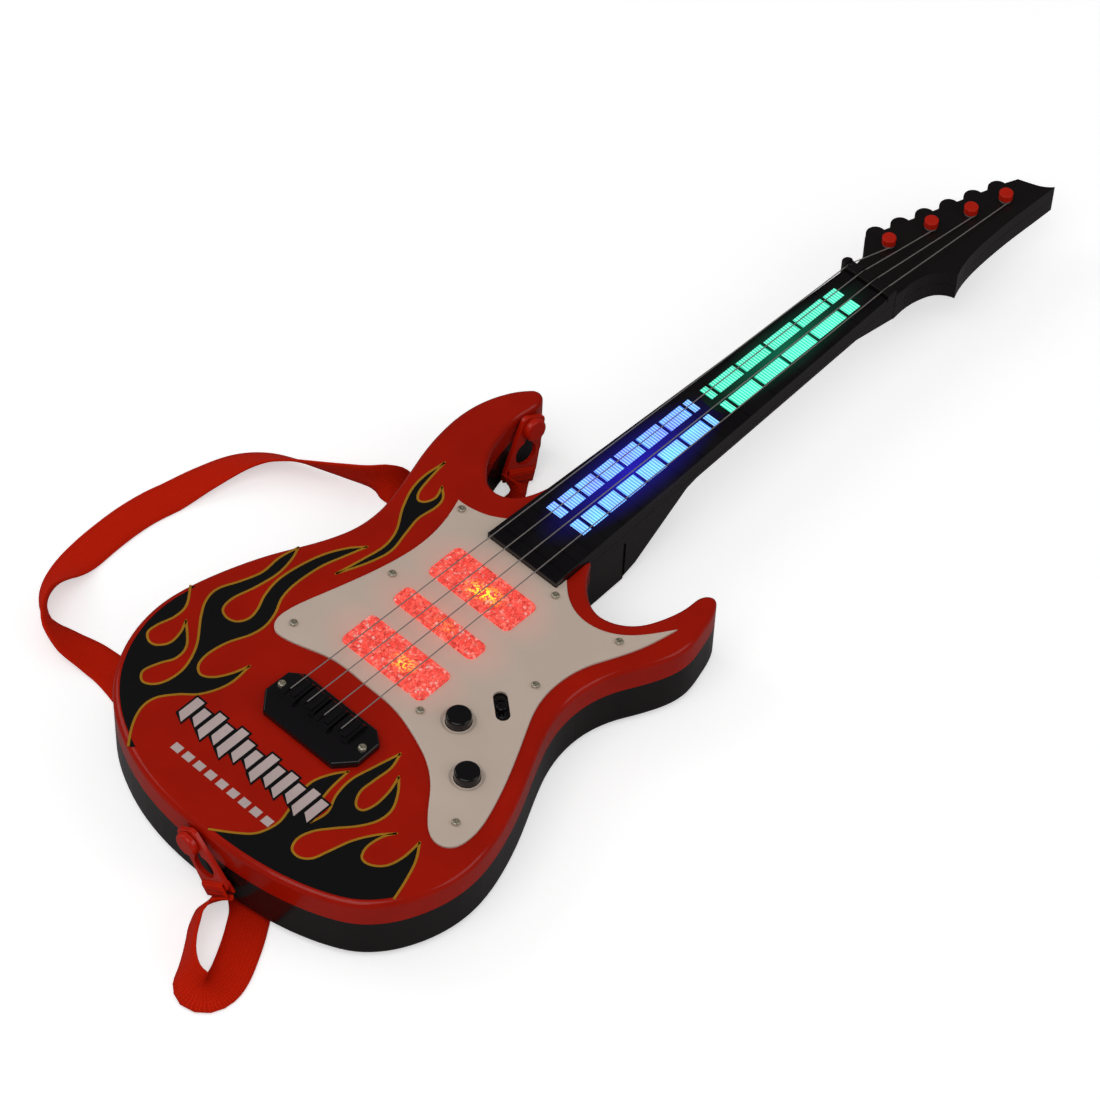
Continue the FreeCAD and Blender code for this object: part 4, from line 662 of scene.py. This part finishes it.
CLIPS = {
    "butt": strap_clip((1.5, -91.4, 30.5), bearing(-90, 0), Vector((0.62, 0, -0.79))),
    "horn": strap_clip((-59.3, 172.5, 29.0), bearing(-6, 10), Vector((0.12, -0.43, -0.89))),
}
PLATE_OUT = 2.0              # from the wall to a clip's inner side
CLIP_THICK = 2.2
CLIP_CLEAR = 0.3
LOOP_START = 20.9            # where the webbing passes through the clip's slot
LOOP_END = 27.5
LOOP_WIDTH = 16.0
LOOP_NOSE = 1.6              # how far the fold's turn reaches along the clip
LOOP_STEPS = 8
TURN_STEPS = 12
STITCH_ROWS = (3.4, 5.6)     # from the slot to each row of thread
STITCHES = 9
STITCH_PITCH = 1.7
STITCH_LIFT = 0.05
STITCH_HALF = (0.65, 0.2)    # half a stitch's length and width
STITCH_TALL = 0.18
LEAD_STEPS = 10
LEAD_EASE = 2.6              # a larger number makes a lead straighter


def clip_axes(which):
    """A clip's foot on the wall, its peg's direction, the way it hangs and its width's way."""
    clip = CLIPS[which]
    out, along = clip["out"], clip["along"]
    return place(*clip["foot"]), out, along, out.cross(along)


def fold_end(which):
    """Where the sewn fold lets the webbing go: its middle, the way on and its width."""
    foot, out, along, across = clip_axes(which)
    middle = foot + along * (LOOP_END * MM)
    middle += out * ((PLATE_OUT + CLIP_THICK / 2) * MM)
    return middle, along, across


def rest_height(slope):
    """How high the strap's middle lies when its width rises by a slope from flat."""
    flat = math.sqrt(max(0.0, 1 - slope * slope))
    return (STRAP_WIDTH / 2 * abs(slope) + STRAP_THICK / 2 * flat + GROUND_CLEAR) * MM


def joining_run(start, finish):
    """Stations that turn smoothly from one to another, without the two themselves."""
    (a, a_way, a_width), (b, b_way, b_width) = start, finish
    if a_width.dot(b_width) < 0:
        b_width = -b_width
    reach = (b - a).length / LEAD_EASE
    corners = (a, a + a_way * reach, b - b_way * reach, b)
    run = []
    for k in range(1, LEAD_STEPS):
        t = k / LEAD_STEPS
        shares = ((1 - t) ** 3, 3 * t * (1 - t) ** 2, 3 * t * t * (1 - t), t ** 3)
        middle = sum((corner * share for corner, share in zip(corners, shares)), Vector())
        pulls = ((1 - t) ** 2, 2 * t * (1 - t), t * t)
        heading = sum(((q - p) * pull for p, q, pull in zip(corners, corners[1:], pulls)),
                      Vector()).normalized()
        width = a_width.lerp(b_width, t)
        width = (width - heading * heading.dot(width)).normalized()
        middle.z = max(middle.z, rest_height(width.z))
        run.append((middle, heading, width))
    return run


def ground_run():
    """The stations of the strap on the ground."""
    line = smooth_line(WEBBING, step=2.0)
    middles = []
    for x, y, tilt, lift in line:
        rest = rest_height(math.sin(math.radians(tilt)))
        middles.append(place(x, y, max(0.0, lift)) + Vector((0, 0, rest)))
    run = []
    up = Vector((0, 0, 1))
    for i, middle in enumerate(middles):
        heading = (middles[min(len(middles) - 1, i + 1)] - middles[max(0, i - 1)]).normalized()
        side = up.cross(heading).normalized()
        rise = heading.cross(side)
        turn = math.radians(line[i][2])
        run.append((middle, heading, side * math.cos(turn) + rise * math.sin(turn)))
    return run


def webbing_piece(name, run, start):
    """A stretch of the strap through its stations, from a length along the strap."""
    sections, lengths = [], []
    for i, (middle, heading, width) in enumerate(run):
        sections.append(section(middle, width, heading.cross(width)))
        step = (middle - run[i - 1][0]).length if i else 0.0
        lengths.append(lengths[-1] + step if lengths else start)
    strap = strip(name, sections, lengths, None)
    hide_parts("strap_webbing")
    return strap, lengths[-1]


def make_webbing():
    """The long free stretch of the strap, with a short lead that follows each clip."""
    ground = ground_run()
    butt, horn = fold_end("butt"), fold_end("horn")
    horn = (horn[0], -horn[1], horn[2])
    lead = [butt] + joining_run(butt, ground[0]) + ground[:1]
    tail = ground[-1:] + joining_run(ground[-1], horn) + [horn]
    strap, run = webbing_piece("strap_lead_butt", lead, 0.0)
    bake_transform(strap)
    strap, run = webbing_piece("strap_long", ground, run)
    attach(strap, "guitar")
    strap, run = webbing_piece("strap_lead_horn", tail, run)
    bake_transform(strap)
    return run


def make_loop(which):
    """The end of the webbing, folded round the clip's bar and sewn to itself."""
    foot, out, along, across = clip_axes(which)
    low = PLATE_OUT - CLIP_CLEAR - STRAP_THICK / 2
    high = PLATE_OUT + CLIP_THICK + CLIP_CLEAR + STRAP_THICK / 2
    straight = LOOP_END - LOOP_START - LOOP_NOSE
    bend = LOOP_START + LOOP_NOSE
    route = [(LOOP_END - straight * k / LOOP_STEPS, high) for k in range(LOOP_STEPS + 1)]
    middle, reach = (low + high) / 2, (high - low) / 2
    for k in range(1, TURN_STEPS):
        turn = math.pi * k / TURN_STEPS
        route.append((bend - LOOP_NOSE * math.sin(turn), middle + reach * math.cos(turn)))
    route += [(bend + straight * k / LOOP_STEPS, low) for k in range(LOOP_STEPS + 1)]
    sections, lengths, run = [], [], 0.0
    spots = [foot + along * (u * MM) + out * (n * MM) for u, n in route]
    for i, spot in enumerate(spots):
        heading = (spots[min(len(spots) - 1, i + 1)] - spots[max(0, i - 1)]).normalized()
        if i:
            run += (spot - spots[i - 1]).length
        sections.append(section(spot, across, heading.cross(across), LOOP_WIDTH))
        lengths.append(run)
    body = which + "_clip"
    loop = strip("strap_fold_" + which, sections, lengths, body)
    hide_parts("strap_loop_" + which)
    return lengths[-1]


LENGTHS = {"whole webbing": make_webbing()}
for which_end in CLIPS:
    LENGTHS["strap_fold_" + which_end] = make_loop(which_end)
print("strap lengths (m):", {name: round(value, 4) for name, value in LENGTHS.items()})


def stitches(which):
    """Two rows of dark thread across the fold, where it is sewn."""
    foot, out, along, across = clip_axes(which)
    top = PLATE_OUT + CLIP_THICK + CLIP_CLEAR + STRAP_THICK + STITCH_LIFT
    length, width = STITCH_HALF
    points, faces = [], []
    for row in STITCH_ROWS:
        for k in range(STITCHES):
            middle = foot + along * ((LOOP_START + row) * MM) + out * (top * MM)
            middle += across * ((k - STITCHES // 2) * STITCH_PITCH * MM)
            base = len(points)
            for a, b, c in ((-1, -1, 0), (1, -1, 0), (1, 1, 0), (-1, 1, 0), (0, 0, 1)):
                points.append(middle + across * (a * length * MM) + along * (b * width * MM)
                              + out * (c * STITCH_TALL * MM))
            faces += [(base, base + 1, base + 4), (base + 1, base + 2, base + 4),
                      (base + 2, base + 3, base + 4), (base + 3, base, base + 4),
                      (base + 3, base + 2, base + 1, base)]
    piece("strap_stitches_" + which, points, faces, THREAD,
          body=which + "_clip")


for which_end in CLIPS:
    stitches(which_end)


# ---------------------------------------------------------------- floor, light and camera
FLOOR_REACH = 6.0
FLOOR_MIRRORED = (0.22, 0.21, 0.21)
FLOOR_LIFT = 0.5             # glow that only the camera sees
ROOM_MIRRORED = 0.07         # strength of the room's light in what mirrors it
ROOM_DIFFUSE = 0.36          # and in what it falls on
STUDIO_LIGHTS = {            # place, size and power
    "key": ((0.2, -0.9, 1.6), 1.3, 8.4),
    "fill": ((1.4, 0.5, 1.1), 1.0, 4),
    "side": ((-1.4, -0.5, 1.2), 1.0, 4),
}
CAMERA_TARGET = Vector((0.0039, -0.0580, 0.0392))
CAMERA_BACK = Vector((0.4195, -0.4788, 0.7713)).normalized()
CAMERA_DISTANCE = 1.8516
CAMERA_ROLL = math.radians(2.759)
CAMERA_LENS = 137.72
CAMERA_SENSOR = 36.0


def make_floor():
    """A plain pale floor that stays near white, and is dim in what mirrors it."""
    s = Shader("floor_pale")
    pale = s.ramp(s.noise(4, 3), [(0.3, (0.80, 0.80, 0.80)), (0.7, (0.83, 0.83, 0.83))])
    path = s.node("ShaderNodeLightPath")
    s.set(Base_Color=s.mix(path.outputs["Is Glossy Ray"], pale, FLOOR_MIRRORED))
    s.set(Roughness=0.8, Specular_IOR_Level=0.1, Emission_Color=(1, 1, 1, 1))
    s.set(Emission_Strength=s.math("MULTIPLY", path.outputs["Is Camera Ray"], FLOOR_LIFT))
    mesh = bpy.data.meshes.new("floor")
    far = FLOOR_REACH
    mesh.from_pydata([(-far, -far, 0), (far, -far, 0), (far, far, 0), (-far, far, 0)], [],
                     [(0, 1, 2, 3)])
    floor = bpy.data.objects.new("floor", mesh)
    bpy.context.scene.collection.objects.link(floor)
    mesh.materials.append(s.material)


def area_light(name, spot, across, power):
    """A soft square light that points at the middle of the frame."""
    light = bpy.data.lights.new(name, "AREA")
    light.energy = power
    light.size = across
    lamp = bpy.data.objects.new(name, light)
    bpy.context.scene.collection.objects.link(lamp)
    lamp.location = spot
    lamp.rotation_euler = (-Vector(spot)).to_track_quat("-Z", "Y").to_euler()


def make_room():
    """Soft light from everywhere that shiny faces mirror only faintly."""
    world = bpy.data.worlds.new("soft_room")
    bpy.context.scene.world = world
    world.use_nodes = True
    tree = world.node_tree
    path = tree.nodes.new("ShaderNodeLightPath")
    strength = tree.nodes.new("ShaderNodeMapRange")
    strength.inputs["To Min"].default_value = ROOM_MIRRORED
    strength.inputs["To Max"].default_value = ROOM_DIFFUSE
    tree.links.new(path.outputs["Is Diffuse Ray"], strength.inputs["Value"])
    tree.links.new(strength.outputs["Result"], tree.nodes["Background"].inputs["Strength"])
    tree.nodes["Background"].inputs["Color"].default_value = (1, 1, 1, 1)


def make_light():
    """Soft studio light from above."""
    for name, (spot, across, power) in STUDIO_LIGHTS.items():
        area_light(name, spot, across, power)
    make_room()


def make_camera():
    """The camera: above the butt's right side, looking down along the neck."""
    back, roll = CAMERA_BACK, CAMERA_ROLL
    data = bpy.data.cameras.new("camera")
    data.lens = CAMERA_LENS
    data.sensor_width = CAMERA_SENSOR
    camera = bpy.data.objects.new("camera", data)
    bpy.context.scene.collection.objects.link(camera)
    right = (-back).cross(Vector((0, 0, 1))).normalized()
    above = right.cross(-back)
    across = right * math.cos(roll) + above * math.sin(roll)
    upward = above * math.cos(roll) - right * math.sin(roll)
    turn = Matrix((across, upward, back)).transposed().to_4x4()
    camera.matrix_world = Matrix.Translation(CAMERA_TARGET + back * CAMERA_DISTANCE) @ turn
    bpy.context.scene.camera = camera


make_floor()
make_light()
make_camera()
bpy.context.scene.view_settings.view_transform = "Standard"
